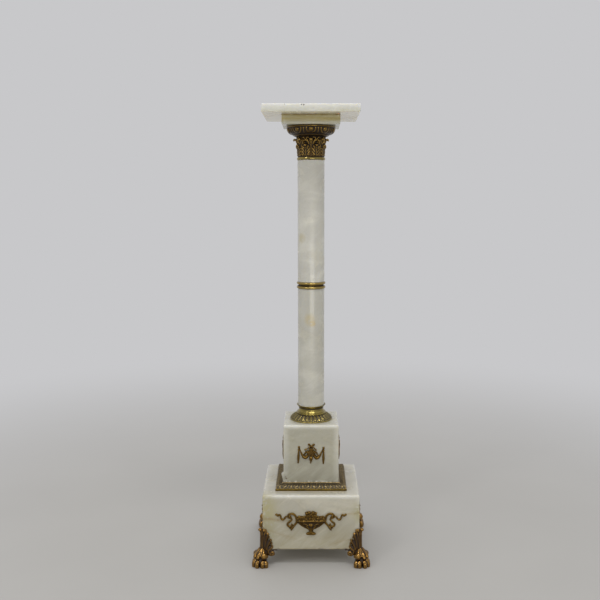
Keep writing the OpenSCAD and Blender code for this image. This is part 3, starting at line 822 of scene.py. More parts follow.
swag.stroke(husk, [2.4, 3.2, 4.2, 4.7, 4.7, 4.1, 3.2, 2.2, 1.6], 0.6, press=0.8)
swag.bead((-0.4, 1, -22.8), (1.7, 1.6, 1.9), 0.4)
for turn in (-2, -1, 0, 1, 2):
    swag.limb([(turn * 0.6, 3.2, -6), (turn * 1.9, 4.2 - 0.4 * abs(turn), -12), (turn * 0.6, 2.6, -19.4)], 8,
              0.6, 0.4)
swag.cut(1)
swag_points, swag_faces, swag_hollow = cast(swag, (3, 9))
print("one swag mount has", len(swag_faces) * 2, "triangles")

# %% Model the urn's bowl and foot
urn = Wax((-88, 0, -36), (88, 8, 26), 0.8)
# heights and half widths, from the foot to the rim
bowl = np.array([(-34.6, 11), (-32.6, 12), (-30.6, 11.2), (-28.6, 8), (-26.6, 4.4), (-24.6, 3.5),
                 (-22.6, 4.6), (-20.6, 8.4), (-18, 15), (-14.6, 21.4), (-10.6, 27), (-6, 31.6),
                 (-3, 33.8), (0, 35.4), (1.5, 35.6)])
spans, x, y, z = urn.region((-37, 0, -35), (37, 8, 1.5), 2)
reach = np.interp(z, bowl[:, 0], bowl[:, 1])
gadroons = 0.4 * np.cos(x / (reach + 3) * 17) * clip((z + 23) / 6) * clip((-9 - z) / 3)
depth = 2.2 + 4.0 * np.sqrt(clip(1 - (x / (reach + 1e-3)) ** 2)) + gadroons
urn.melt(spans, np.maximum(np.maximum((np.abs(x) - reach) * 0.7, (y - depth) * 0.8),
                           np.maximum(z - 1.5, -34.6 - z)), 0.3)
# the rim and the line under it, a ring at the stem and one at the foot
for pegs, r, soft in (([(-36.2, 3.2, 0.4), (-20, 5.2, 0.4), (20, 5.2, 0.4), (36.2, 3.2, 0.4)], 1.5, 0.3),
                      ([(-34, 3, -3.2), (-18, 5.4, -3.2), (18, 5.4, -3.2), (34, 3, -3.2)], 0.7, 0.4),
                      ([(-4.6, 3.2, -23.4), (4.6, 3.2, -23.4)], 1.4, 0.3),
                      ([(-10.4, 3, -31.8), (10.4, 3, -31.8)], 1.8, 0.4)):
    urn.stroke(pegs, r, soft)
# a small palmette in the middle of the bowl
for turn in np.linspace(-1, 1, 5):
    urn.limb([(turn * 1.2, 6.2, -13), (turn * 3.4, 6.8, -9), (turn * 5, 6.6 - abs(turn), -6.4 - 1.5 * abs(turn))],
             6, 1.1, 0.4)
for side in (1, -1):
    urn.limb(mirror([(7, 6, -11), (12, 5.8, -8), (17, 5.2, -6.4), (19, 5, -8.4)], side), 8, 0.8, 0.5)
print("urn wax has", urn.field.size, "grid points")

# %% Fill the urn and hang its ribbons
chance = np.random.default_rng(7)
urn.bead((0, 0.2, 9), (14.5, 2, 13.5), 0.6)
for side in (1, -1):
    urn.bead((side * 23.5, 0.2, 4.5), (13, 2, 8), 0.6)
FLOWERS = ((31, 4.6, 3.9), (24.4, 7, 4.8), (17.6, 4.6, 3.8), (30, 10, 2.8), (10.8, 4.6, 4.2),
           (9.2, 12, 4.8), (11, 18.8, 3.6), (4.8, 20.8, 3.8), (4, 5, 3.8), (17.2, 9.8, 2.8))
LEAF_TIPS = ((34, 8, 1.1), (27.5, 12, 0.7), (19.5, 11.6, 0.2), (14, 21, 0.9), (9, 23.2, 0.4),
             (2.4, 24, 0.1))


def ribbon(side, pegs, count, radii, press, groove, soft, lift, last=-2):
    """A ribbon with a groove down its middle, which stops short of the ends."""
    line = urn.limb(mirror(pegs, side), count, radii, 0.4, press)
    urn.stroke(line[2:last] + (0, lift, 0), groove, soft, carve=True)


for side in (1, -1):
    for x, z, r in FLOWERS:
        out = 3.6 + 1.4 * chance.random()
        rosette(urn, side * x + chance.uniform(-0.5, 0.5), z + chance.uniform(-0.5, 0.5), r,
                int(chance.integers(5, 7)), out)
    if side > 0:
        rosette(urn, 0, 13.6, 5, 6, 4.8)
    for x, z, lean in LEAF_TIPS:
        root = (side * (x - 3.4 * math.sin(lean)), 2.4, z - 4.4 * math.cos(lean))
        urn.stroke([root, (side * x, 2, z)], [2.2, 1.1], 0.4, press=0.8)
    # the handle and its eye, the trail that waves outwards, and the knot that hangs
    ribbon(side, [(34, 2, -2), (35.4, 2.4, 6), (38, 2.6, 13.2), (44, 2.8, 17.6), (51, 2.8, 17.4),
            (55.4, 2.8, 13.6), (55.2, 2.8, 9.2), (51.4, 3, 7), (48.2, 3.2, 9.2)], 28,
           {0: 3, 8: 2.8, 16: 2.5, 27: 1.9}, 0.8, 0.9, 0.9, 2.5, last=-4)
    urn.bead((side * 51.2, 3.6, 12.2), 2.7, 0.2)
    ribbon(side, [(56, 2, 11.6), (60.6, 2.4, 10.6), (64, 2, 5.6), (68.2, 2.4, 2.8), (72, 2.2, 5.6),
            (73.6, 2, 11.6), (76.2, 2.4, 15.4), (79.6, 2, 12.8), (84, 1.8, 15.6)], 30,
           {0: 2, 12: 2.4, 22: 2.2, 29: 2.7}, 0.75, 0.8, 0.8, 2.1)
    ribbon(side, [(48.6, 2.2, 7), (47, 2, 2.4), (51, 2.6, -2.2), (56.4, 2.2, -6.4), (56.6, 2.2, -11.4),
            (51.8, 2.6, -14.4), (46.2, 2.2, -12.2), (46.4, 2.2, -8.4)], 26,
           {0: 2.1, 12: 2.6, 25: 2.1}, 0.75, 0.9, 0.8, 2.2)
    urn.limb(mirror([(33, 1.8, -3), (37.4, 2.2, -7.4), (41.8, 2.4, -12.6), (46, 2.2, -16.4),
                     (48.4, 1.6, -24.4)], side), 14, {0: 2.8, 8: 2.6, 11: 3.4, 13: 1.2}, 0.4, press=0.75)
    urn.stroke(mirror([(42.6, 1.8, -17.6), (47, 2, -17.4), (52.6, 1.8, -18.4)], side), [1.5, 2.2, 1.4], 0.4,
               press=0.8)
urn.cut(1)
urn_points, urn_faces, urn_hollow = cast(urn, (3, 9))
print("one urn mount has", len(urn_faces) * 2, "triangles")

# %% Stand the flat mounts on the four faces
SWAG_HEIGHT, URN_HEIGHT = base_top + 88, floor_gap + 73.0
SWAG_LEANS = (1.9, -0.6, 0.9, 0.4)


def on_stone(points, half, height, lean=0):
    """Stand a mount against the front of a block, with a small lean in degrees."""
    c, s = math.cos(math.radians(lean)), math.sin(math.radians(lean))
    x, y, z = points.T
    return np.stack([x * c + z * s, -half - y, z * c - x * s + height], 1)


for quarter, side in enumerate(("front", "right", "back", "left")):
    for name, node, points, faces, hollow in (
            ("bow_and_swags_", "swag_", on_stone(swag_points, dado_half, SWAG_HEIGHT, SWAG_LEANS[quarter]),
             swag_faces, swag_hollow),
            ("urn_of_flowers_", "urn_", on_stone(urn_points, base_half, URN_HEIGHT), urn_faces, urn_hollow)):
        make_piece(name + side, node + side, quarter_turn(points, quarter), faces[:, ::-1], bronze_mounts, hollow)

# %% [markdown]
# ## The capital
#
# A ring, a bell wrapped in two rows of eight acanthus leaves, and a round of eggs between pointed darts.
# Everything repeats round the axis, so each leaf or egg is written once in a folded space, where all
# sectors lie on top of each other. Low relief is a rule for the radius. The curled leaf tips hang free
# of the bell, which a rule for the radius can't do, so they are beads of wax.

# %% The capital's outline and its leaves
CAP_LEAVES, EGGS = 8, 10
cap_h = cap_high - cap_low
rim_r = half_width("capital")
# heights and radii: ring, neck, bell, fillets, echinus and rim
profile = np.array([(0, 33.2), (0.7, 34.1), (3.4, 34.7), (6.2, 34.1), (6.9, 33), (7.5, 32.2), (8.4, 31.4),
                    (12, 30.9), (30, 30.6), (44, 30.8), (50, 31.6), (54, 33.6), (56, 36.4), (57.4, 41.2),
                    (58.4, 43.6), (59.4, 43.9), (60.2, 43.2), (60.8, 44.4)]
                   + [(60.8 + 15.6 * t, 44.4 + (rim_r - 46) * math.sqrt(1 - (1 - t) ** 2.1))
                      for t in np.linspace(0.05, 1, 12)]
                   + [(76.8, rim_r - 0.8), (77.6, rim_r - 0.1), (79.4, rim_r - 0.1), (80.2, rim_r - 0.8),
                      (81, rim_r - 1.6)])


def wave(x):
    return 0.5 + 0.5 * np.cos(2 * np.pi * x)


def hill(x, width):
    return np.exp(-(x / width) ** 2)


def leaf(s, z, bottom, height, half, thick, lobes):
    """Relief of one acanthus leaf: lobed outline, a midrib and side ribs that fan out and up to the edge."""
    t = (z - bottom) / height
    s = np.abs(s)
    body = np.where(t < 0.5, 0.86 + 0.28 * t, np.sqrt(clip(1 - ((t - 0.5) / 0.54) ** 2.4)))
    fan = t - 0.5 * s / half
    reach = half * body * (1 - 0.2 * wave(lobes * fan + 0.5) ** 2)
    inside = clip((reach - s) / 1.3)
    ribbing = 0.8 * wave(lobes * fan) ** 1.5 * clip((s - 1.2) / 2.4)
    middle = 0.9 * hill(s, 1.2) - 0.5 * hill(s - 2.4, 0.9)
    dome = thick * (0.7 + 0.3 * clip(s / (half + 1e-3))) + 1.3 * t
    up = clip(t * 8) * clip((1.02 - t) * 8)
    return (dome + ribbing + middle) * inside * inside * (3 - 2 * inside) * up


print("capital is", round(cap_h, 1), "mm high and", round(2 * rim_r, 1), "across")

# %% Raise the capital's relief
cap = Wax((-61, -61, 0), (61, 61, cap_h), 0.88)
spans, x, y, z = cap.region((-61, -61, -2), (61, 61, cap_h + 2), 0)
radius, angle = np.hypot(x, y), np.arctan2(y, x) - FRONT
core = np.interp(z, profile[:, 0], profile[:, 1])


def sector(count, start=0):
    """The turn away from the nearest of a number of rays."""
    step = 2 * math.pi / count
    return (angle - start + step / 2) % step - step / 2


low_leaf = leaf(33.5 * sector(CAP_LEAVES, math.pi / CAP_LEAVES), z, 7.4, 30, 12.4, 2.9, 4)
high_leaf = leaf(33.5 * sector(CAP_LEAVES), z, 7.4, 45, 13.2, 1.5, 5)
# each egg sits in a shell with a raised lip, and a dart points down between every two
s, h = 54.0 * sector(EGGS), z - 70.0
egg = np.sqrt(clip(1 - (s / 5) ** 2 - (np.clip(h, -9, 9) / 6.4) ** 2))
shell = np.sqrt((s / 10.4) ** 2 + ((h - 2) / 10) ** 2)
dart = clip(1 - np.abs(np.abs(s) - 16.95) / (2.8 - 1.6 * np.clip(-h / 6, -1, 1)))
carved = 2.2 * egg - 1.1 * hill(shell - 0.72, 0.17) + 0.8 * hill(shell - 1, 0.13)
carved = carved - 0.9 * clip((shell - 1.14) * 4) * (1 - dart) + 0.7 * dart
band = clip((z - 61) / 1.4) * clip((76.2 - z) / 1.2)
cap.field[spans] = (radius - core - (np.maximum(low_leaf, high_leaf) + carved * band)) * 0.8
cap.cut(2)
cap.cut(2, cap_h, -1)
print(2 * CAP_LEAVES, "leaves and", EGGS, "eggs on", cap.field.size, "grid points")

# %% Curl the leaf tips and cast the capital
# the tall leaves' tips, with a small scroll on each side
cap.fold = (CAP_LEAVES, FRONT)
cap.limb([(32, 0, 40), (34.6, 0, 45.4), (37.8, 0, 49), (40.8, 0, 49.6), (41.8, 0, 47.2)], 9,
         {0: 2.5, 4: 2.4, 8: 2.1}, 0.9, press=1.9)
cap.bead((33.6, 0, 51.4), (2.6, 3.1, 3.1), 0.5)
for side in (1, -1):
    fold = [(32.6, side * 5, 38), (34.4, side * 7.6, 43), (35.8, side * 9.8, 46.4), (35.6, side * 11.2, 45)]
    cap.limb(fold, 8, [1.7, 2, 2.2, 2.3, 2.2, 2, 1.8, 1.5], 1.2)
    scroll = [(32.2, side * 12.5, 46), (33, side * 10.6, 51), (34.6, side * 8.4, 53.6),
              (34.4, side * 6.4, 52)]
    cap.limb(scroll, 8, 1.4, 0.6)
# the short leaves' lips
cap.fold = (CAP_LEAVES, FRONT + math.pi / CAP_LEAVES)
cap.limb([(33.2, 0, 28), (35, 0, 33), (37, 0, 35.4), (37.9, 0, 33.6)], 8, {0: 2, 4: 2, 7: 1.5}, 0.8,
         press=1.9)
for side in (1, -1):
    cap.limb([(33.4, side * 4.2, 26), (35.4, side * 6.4, 31), (35.6, side * 8.6, 32.4)], 6,
             [1.5, 1.8, 2, 1.9, 1.7, 1.3], 1)
cap.fold = None
cap_points, cap_faces, cap_hollow = cast(cap, (4, 14))
# painted shade: it is browner in a band under the rim and over the flaring echinus above, and the plain ring at its
# foot is polished
up = cap_points[:, 2]
cap_hollow = clip(cap_hollow + 0.22 * (hill(up - 55.5, 3.4) + (up > 58))) * 0.75 + 0.16
polished = clip((7.6 - up) / 0.8)
cap_hollow = cap_hollow * (1 - polished) + (cap_hollow * 0.45) * polished
make_piece("acanthus_capital", "capital", cap_points + (0, 0, cap_low), cap_faces, bronze_capital, cap_hollow)

# %% [markdown]
# ## Turned pieces
#
# A lathe spins a profile about the axis. Here the profile is a list of radius and height, and each point may
# be pushed along the profile's normal to carve leaves or leave small knocks. The profile stops just short of
# the axis, where a flat face closes each end. The drums, the ring between them and the spreading shaft base
# are all made this way.

# %% A lathe with a carving tool
AXIS = 0.4


def turned(profile, around, carve):
    """Points, faces and ends of a turned solid. carve gets the angle, the radius and the height."""
    p = np.array(profile, float)
    along = np.gradient(p, axis=0)
    normal = np.stack([along[:, 1], -along[:, 0]], 1) / (np.linalg.norm(along, axis=1, keepdims=True) + 1e-9)
    angle = np.linspace(0, 2 * math.pi, around, endpoint=False)
    a, z = np.meshgrid(angle, p[:, 1], indexing="xy")
    r = np.repeat(p[:, :1], around, 1)
    push = carve(a, r, z)
    r = r + push * normal[:, :1]
    z = z + push * normal[:, 1:]
    return np.stack([r * np.cos(a), r * np.sin(a), z], 2).reshape(-1, 3), *loops(len(p), around)


def path(points, spacing):
    """Fill a profile in with points at about the same spacing."""
    out = [points[0]]
    for a, b in zip(points[:-1], points[1:]):
        steps = max(1, round(math.dist(a, b) / spacing))
        out += [(a[0] + (b[0] - a[0]) * k / steps, a[1] + (b[1] - a[1]) * k / steps) for k in range(1, steps + 1)]
    return out


def arc(cx, cy, r, start, end, steps):
    turns = np.radians(np.linspace(start, end, steps))
    return [(cx + r * math.cos(t), cy + r * math.sin(t)) for t in turns]


def smooth(points, count):
    return [tuple(p) for p in bend(points, count)]


print("lathe ready")

# %% Turn the shaft base and carve its leaves
SB_LEAVES = 28
sb_h = sb_high - sb_low
cup = drum_r + 0.3
outline = (path([(AXIS, 0), (30, 0), (52.8, 0)], 4) + [(53.3, 0.15), (53.6, 0.6)]
           + path([(53.6, 0.8), (53.6, 1.9)], 0.5) + [(53.2, 2.4)]
           + smooth([(52.4, 2.9), (49.6, 5.6), (46, 8.6), (42, 11.4), (38.6, 13.6), (36.9, 14.8)], 34)
           + arc(35.9, 16.6, 1.5, -60, 90, 9) + [(35.2, 18.4), (34.8, 18.8)] + arc(34, 19.8, 1, -30, 110, 6)
           + smooth([(33.2, 21), (31.4, 23.2), (30.8, 26.4), (31.3, 29.6), (33.2, 32.8), (35.3, 35.4),
                     (36.2, sb_h - 0.5)], 26)
           + [(36, sb_h - 0.05), (35.4, sb_h - 0.1)]
           + path([(cup + 0.2, sb_h - 1.2), (cup, sb_h - 2.4), (cup, sb_h - 4)], 0.8)
           + path([(cup - 0.2, sb_h - 4.2), (12, sb_h - 4.2), (AXIS, sb_h - 4.2)], 6))


def carve_base(a, r, z):
    """Upright leaves with a rib each, and a pointed tongue between every two."""
    t = clip((z - 2.9) / 11.9)
    on = (z > 2.6) * (z < 15) * (r > 36.8)
    s = ((a - FRONT) * SB_LEAVES / (2 * math.pi) + 0.5) % 1 - 0.5
    reach = 0.42 * np.sqrt(clip(1 - (np.abs(t - 0.55) / 0.46) ** 2.6)) * (1 - 0.12 * wave(t * 3))
    inside = clip((reach - np.abs(s)) / 0.08)
    leafy = 0.95 * inside * (0.75 + 0.25 * np.cos(s * 3.1)) + 0.55 * hill(s, 0.055) * inside
    leafy -= 0.4 * inside * wave(4.5 * (t - 0.9 * np.abs(s))) ** 3 * clip(np.abs(s) / 0.1)
    tongue = clip(1 - np.abs(np.abs(s) - 0.5) / (0.1 + 0.08 * t)) * clip((0.5 - t) * 5) * clip((t - 0.06) * 12)
    return on * (leafy + 0.8 * tongue - 0.6 + 0.5 * clip((0.08 - t) / 0.05))


sb_points, sb_faces, sb_ends = turned(outline, around=13 * SB_LEAVES, carve=carve_base)
sb_hollow = hollows(sb_points, sb_faces)
up, reach = sb_points[:, 2], np.hypot(sb_points[:, 0], sb_points[:, 1])
smooth_part = up > 15.2
sb_hollow[smooth_part] = 0.3 + 0.5 * (sb_hollow[smooth_part] - 0.5)
# the neck just under the lip is painted browner: painted shade under the lip's overhang
sb_hollow = clip(sb_hollow + 0.42 * hill(up - 31, 2.6) * (reach < 33.6))
make_piece("shaft_base_casting", "shaft_base", sb_points + (0, 0, sb_low), sb_faces, bronze_base, sb_hollow,
           ends=sb_ends)

# %% Turn the double ring
ring_low, ring_high = levels("shaft_ring")
ring_h = ring_high - ring_low
bead_r, bead_at = 2.9, drum_r + 2.75 - 2.9
outline = (path([(AXIS, 0), (bead_at - 1, 0)], 5) + arc(bead_at, bead_r, bead_r, -84, 74, 16)
           + [(34.6, 5.9), (33.2, 6.2), (32, 6.5)]
           + smooth([(31.6, 6.9), (31.1, ring_h / 2), (31.6, ring_h - 6.9)], 7)
           + [(32, ring_h - 6.5), (33.2, ring_h - 6.2), (34.6, ring_h - 5.9)]
           + arc(bead_at, ring_h - bead_r, bead_r, -74, 84, 16) + path([(bead_at - 1, ring_h), (AXIS, ring_h)], 5))
knock = np.random.default_rng(3)
knocks = [(knock.uniform(0, 2 * math.pi), knock.choice([bead_r, ring_h - bead_r]), knock.uniform(0.1, 0.3))
          for _ in range(14)]


def dents(a, r, z):
    """A slight waviness, and small knocks on both beads."""
    total = 0.05 * np.sin(5 * a) * (r > 33)
    for at, height, deep in knocks:
        away = (a - at + math.pi) % (2 * math.pi) - math.pi
        total = total - deep * np.exp(-(away * 36 / 1.6) ** 2 - ((z - height) / 1.6) ** 2) * (r > 33)
    return total


points, faces, ends = turned(outline, around=168, carve=dents)
hollow = np.where(np.hypot(points[:, 0], points[:, 1]) < 33.4, 0.85, 0.3)
make_piece("ring_between_drums", "shaft_ring", points + (0, 0, ring_low), faces, bronze_ring, hollow, ends=ends)

# %% Turn the two drums
def drum(name, node, finish, seed):
    low, high = levels(node)
    h, r = high - low, drum_r
    outline = (path([(AXIS, 0), (r - 0.8, 0)], 8) + [(r - 0.3, 0.12), (r - 0.05, 0.5)]
               + path([(r, 1), (r, 6)], 1.2) + path([(r, 12), (r, h - 12)], 9) + path([(r, h - 6), (r, h - 1)], 1.2)
               + [(r - 0.05, h - 0.5), (r - 0.3, h - 0.12)] + path([(r - 0.8, h), (AXIS, h)], 8))
    phase = np.random.default_rng(seed).uniform(0, 6.28, 6)

    def hand_made(a, r, z):
        sway = 0.05 * np.sin(2 * a + phase[0] + z / 60) + 0.04 * np.sin(3 * a + phase[1] - z / 35)
        return (sway - 0.1) * (r > drum_r - 0.4)

    points, faces, ends = turned(outline, around=144, carve=hand_made)
    make_piece(name, node, points + (0, 0, low), faces, finish, ends=ends)


drum("upper_drum", "shaft_upper", onyx_upper, 11)
drum("lower_drum", "shaft_lower", onyx_lower, 12)

# %% [markdown]
# ## Sawn and polished blocks
#
# The blocks are square, with edges rubbed round and a few losses. A stack of square outlines is drawn in at
# the top and bottom by each edge's own radius. The rows are close together near the edges, where chips
# need them, and wide apart on the flat. A chip is a ball that the stone may not enter: any corner inside
# it is pushed back to its skin, and a little noise makes the break look split and not moulded.

# %% A stack of square outlines
def square_outline(half, r, side_steps):
    """Points round a square with rounded corners, closer together towards the corners."""
    t = np.linspace(-1, 1, side_steps, endpoint=False)
    t = np.sin(t * math.pi / 2) * 0.6 + t * 0.4
    side = np.stack([t * (half - r), np.full_like(t, -half)], 1)
    a = np.radians(np.linspace(-90, 0, 7, endpoint=False))
    corner = np.stack([half - r + r * np.cos(a), -half + r + r * np.sin(a)], 1)
    one = np.concatenate([side, corner])
    all_sides = []
    for k in range(4):
        all_sides.append(one)
        one = np.stack([-one[:, 1], one[:, 0]], 1)
    return np.concatenate(all_sides)


def block_rows(height, top_r, bottom_r, flat_step):
    """How far in and how high each outline of the stack lies."""
    low, high = np.radians(np.linspace(0, 90, 6)), np.radians(np.linspace(0, 90, 9)[1:])
    stop = height - top_r
    mid = [bottom_r + step for step in (1.2, 2.6, 4.4, 7)] if height > 30 else []
    start = mid[-1] if mid else bottom_r
    count = max(2, int((stop - start) / flat_step))
    mid = mid + list(np.linspace(start, stop, count + 1)[1:])
    return ([(bottom_r * (1 - math.sin(t)), bottom_r * (1 - math.cos(t))) for t in low]
            + [(0, z) for z in mid]
            + [(top_r * (1 - math.cos(t)), stop + top_r * math.sin(t)) for t in high])


print("a 100 mm block is a stack of", len(block_rows(100, 4, 1, 9)), "outlines")

# %% A block with chips
RIPPLE = 0.08


def chip(points, bite, half, height, cx, cy, cz, r):
    """Push the points inside a ball back to its skin, away from the edge that it bites."""
    away = points - (cx, cy, cz)
    far = np.linalg.norm(away, axis=1)
    r_here = r * (1 + 0.16 * bite)
    inward = np.array([-cx if abs(cx) > half * 0.97 else 0, -cy if abs(cy) > half * 0.97 else 0,
                       (height / 2 - cz) if cz < 1 or cz > height - 1 else 0])
    inward = inward / (np.linalg.norm(inward) + 1e-9)
    along = away @ inward
    off = np.sqrt(np.clip(r_here ** 2 - (far ** 2 - along ** 2), 0, None))
    inside = far < r_here
    points[inside] += inward * (off - along)[inside][:, None]


def place_block(name, node, finish, chips, seed, corner_r, top_r, bottom_r, side_steps, flat_step=9):
    (low, high), half = levels(node), half_width(node)
    height = high - low
    rings = []
    for inset, z in block_rows(height, top_r, bottom_r, flat_step):
        ring = square_outline(half - inset, max(corner_r - inset * 0.5, 0.8), side_steps)
        rings.append(np.column_stack([ring, np.full(len(ring), z)]))
    shrinks = [1 - d / half for d in (1.5, 3.5, 7, 13, 24, 40, 60, 85) if d < half * 0.9] + [0.02]
    bottom, top = ([ring * (s, s, 1) for s in shrinks] for ring in (rings[0], rings[-1]))
    stack = bottom[::-1] + rings + top
    points = np.concatenate(stack)
    phase = np.random.default_rng(seed).uniform(0, 6.28, 8)
    x, y, z = points.T
    ripple = (np.sin(x / 17 + phase[0] + z / 23) + np.sin(y / 19 + phase[1] - z / 31)
              + np.sin((x + y) / 11 + phase[2])) / 3
    bite = np.sin(x * 2.1 + phase[3]) * np.sin(y * 1.9 + phase[4]) * np.sin(z * 2.3 + phase[5])
    flatness = np.abs(points[:, :2]).max(1) / half
    points[:, :2] *= (1 - RIPPLE * (0.5 + 0.5 * ripple) / half * (flatness > 0.9))[:, None]
    for one in chips:
        chip(points, bite, half, height, *one)
    faces, ends = loops(len(stack), len(rings[0]))
    return make_piece(name, node, points + (0, 0, low), faces, finish, ends=ends)


nicks = np.random.default_rng(5)


def edge_chips(half, z, sizes, faces=(0, 1, 2, 3)):
    """Small random losses along the edges at one height."""
    out = []
    for face in faces:
        for r in sizes:
            x, y = nicks.uniform(-0.9, 0.9) * half, -half - r * 0.35
            for _ in range(face):
                x, y = -y, x
            out.append((x, y, z, r * nicks.uniform(0.8, 1.2)))
    return out


def front_chips(half, *chips):
    """Losses on the front edge, by how far across, how far outside it, how high and how big."""
    return [(x, -half - out, z, r) for x, out, z, r in chips]


print("chips are cut by balls")

# %% Cut the blocks
NOT_FRONT = (1, 2, 3)
base_chips = front_chips(base_half, (24, 1.2, -0.8, 4.4), (29, 1, -0.6, 3), (61, 1, -0.6, 3.4),
                         (-80, 1, -0.8, 3.8), (-46, 1.4, -0.4, 2.2), (84, 1, -0.8, 4), (8, 1.4, -0.4, 2))
base_chips += edge_chips(base_half, -0.6, (2.2, 2.8, 3.2), NOT_FRONT)
place_block("base_stone", "base_block", onyx_base, base_chips, seed=21,
            corner_r=3, top_r=5, bottom_r=0.8, side_steps=92)

slab_half = half_width("top_slab")
slab_h = levels("top_slab")[1] - levels("top_slab")[0]
slab_chips = front_chips(slab_half, (-60, 0.5, slab_h + 0.4, 2.6), (-21.5, 0.6, slab_h + 0.4, 2.8),
                         (-16.5, 0.6, slab_h + 0.2, 3.2), (-88, 0.8, slab_h + 0.6, 2), (46, 0.9, slab_h + 0.6, 2))
slab_chips += edge_chips(slab_half, slab_h + 0.5, (1.8, 2.4), NOT_FRONT) + edge_chips(slab_half, -0.5, (1.8, 2.2))
place_block("top_stone", "top_slab", onyx_slab, slab_chips, seed=22,
            corner_r=2.2, top_r=2, bottom_r=1.2, side_steps=92)

neck_chips = edge_chips(half_width("neck_block"), -0.5, (1.6, 2))
place_block("neck_stone", "neck_block", olive.material, neck_chips, seed=23,
            corner_r=1.5, top_r=0.8, bottom_r=1.2, side_steps=48)

dado_chips = front_chips(dado_half, (4.5 - dado_half, 0.5, 25.8, 3), (6.0 - dado_half, 1.2, 23, 2.4))
dado_chips += edge_chips(dado_half, dado_top - base_top - 0.2, (1.4, 1.8))
dado = place_block("dado_stone", "dado_block", onyx_dado, dado_chips, seed=24,
                   corner_r=2, top_r=4.5, bottom_r=0.8, side_steps=64, flat_step=4)

# %% [markdown]
# One corner of the dado was broken off low on its left edge and set back a little crooked. On the mesh the
# points inside a ragged outline are pushed out from the left face, most at the top.

# %% The corner that was set back crooked
CORNER_LOW, CORNER_HIGH = 16.8, 38.0
spots = np.array([v.co[:] for v in dado.data.vertices]) / MM
height, back = spots[:, 2] - base_top, spots[:, 1] + dado_half
wobble = 1.3 * np.sin(height * 0.9) + 0.9 * np.sin(back * 1.3 + height * 0.4)
within = (clip((CORNER_HIGH + wobble - height) / 1.2) * clip((height - CORNER_LOW) / 0.4)
          * clip((15.0 + wobble - 0.25 * (height - 16) - back) / 1.2))
on_left = spots[:, 0] < -dado_half + 2.2
push = within * on_left * (1.6 + 0.17 * (height - CORNER_LOW) + 0.25 * np.sin(height * 1.7 + back))
spots[:, 0] -= push
dado.data.vertices.foreach_set("co", (spots * MM).ravel())
dado.data.update()
print("broken corner stands", round(float(push.max()), 1), "mm proud")

# %% [markdown]
# ## The leaf moulding
#
# A frame of four mitred lengths sits round the dado's foot: a plain polished fillet, then a hollow and
# round that carries a row of leaves. The profile is swept round the square. Its corners meet on the
# diagonals because every point keeps its own distance from the outside edge.

# %% The moulding's profile
MO_LEAVES = 12
mo_half = half_width("leaf_moulding")
mo_h = mo_high - mo_low
hole = dado_half + 0.3
slope = [(mo_half - 1.5, 6.2), (mo_half - 2.6, 9.4), (mo_half - 6, 11.9), (mo_half - 11.5, 12.7),
         (mo_half - 16, 13.2), (hole + 3.2, 14.6)]
fillet = [(hole, 0), (hole + 8, 0)] + [(mo_half - inset, z) for inset, z in (
    (3, 0), (0.6, 0), (0.1, 0.2), (0, 0.7), (0, 2.8), (0, 4.9), (0.15, 5.5), (0.6, 5.8), (1.2, 5.9))]
section = np.array(fillet + smooth(slope, 30) + [(hole + 2.6, 15.2), (hole + 2.2, 15.8), (hole + 1.2, mo_h),
                                                 (hole + 0.2, mo_h), (hole, mo_h - 0.5), (hole, 6)])
way = np.gradient(section, axis=0)
normal = np.stack([way[:, 1], -way[:, 0]], 1) / np.linalg.norm(way, axis=1, keepdims=True)
print("the moulding's profile has", len(section), "points")

# %% Raise its leaves and sweep it round
row = np.arange(len(section))[:, None]
tt, on = clip((row - 10) / 29), (row > 10) & (row < 41)
along = np.linspace(-1, 1, MO_LEAVES * 12, endpoint=False)[None, :]
to_mitre = 1 - np.abs(along)
s = (along * MO_LEAVES / 2 + 0.5) % 1 - 0.5
dots = (along * MO_LEAVES * 0.75 + 0.5) % 1 - 0.5
reach = 0.34 * np.sqrt(clip(1 - (np.abs(tt - 0.62) / 0.36) ** 2.2)) * (1 - 0.3 * wave(tt * 5))
inside = clip((reach - np.abs(s)) / 0.07)
raised = 1.2 * inside * (0.6 + 0.4 * np.cos(4 * s)) + 0.6 * hill(s, 0.04) * inside
raised = raised - 0.7 * inside * wave(7.0 * (tt - 0.6 * np.abs(s)) + 0.5) ** 2 * clip(np.abs(s) / 0.1)
# buds between the leaves, a pearl on each side of a leaf's tip, and a row of dots along the foot
raised = raised + 1.2 * hill(np.abs(s) - 0.5, 0.07) * hill(tt - 0.52, 0.22)
raised = raised + 0.9 * hill(np.abs(s) - 0.4, 0.045) * hill(tt - 0.82, 0.07)
raised = raised + 1.3 * hill(dots, 0.2) * hill(tt - 0.16, 0.085)
raised = (raised - 0.35) * on * clip(to_mitre * 26) + 0.9 * on * clip(1 - to_mitre * 34)
out, up = section[:, :1] + raised * normal[:, :1], section[:, 1:] + raised * normal[:, 1:]
front = np.stack([section[:, :1] * along, -out, up], 2)
rows, around = len(section), 4 * along.size
grid = np.concatenate([quarter_turn(front.reshape(-1, 3), k).reshape(front.shape) for k in range(4)], 1)
mo_points = grid.reshape(-1, 3)
mo_faces = loops(rows + 1, around)[0] % len(mo_points)
mo_hollow = hollows(mo_points, mo_faces, (3, 10))
mo_hollow[(mo_points[:, 2] < 5.7) & (mo_points[:, 2] > 0.3)] = 0.3
make_piece("leaf_frame", "leaf_moulding", mo_points + (0, 0, mo_low), mo_faces, bronze_frame, mo_hollow)

# %% [markdown]
# ## Floor, light and camera
#
# The floor is plain and pale, and stops well behind the column. Three big soft lamps and a pale room do
# the lighting, because stone and worn gilding both show best under broad light.

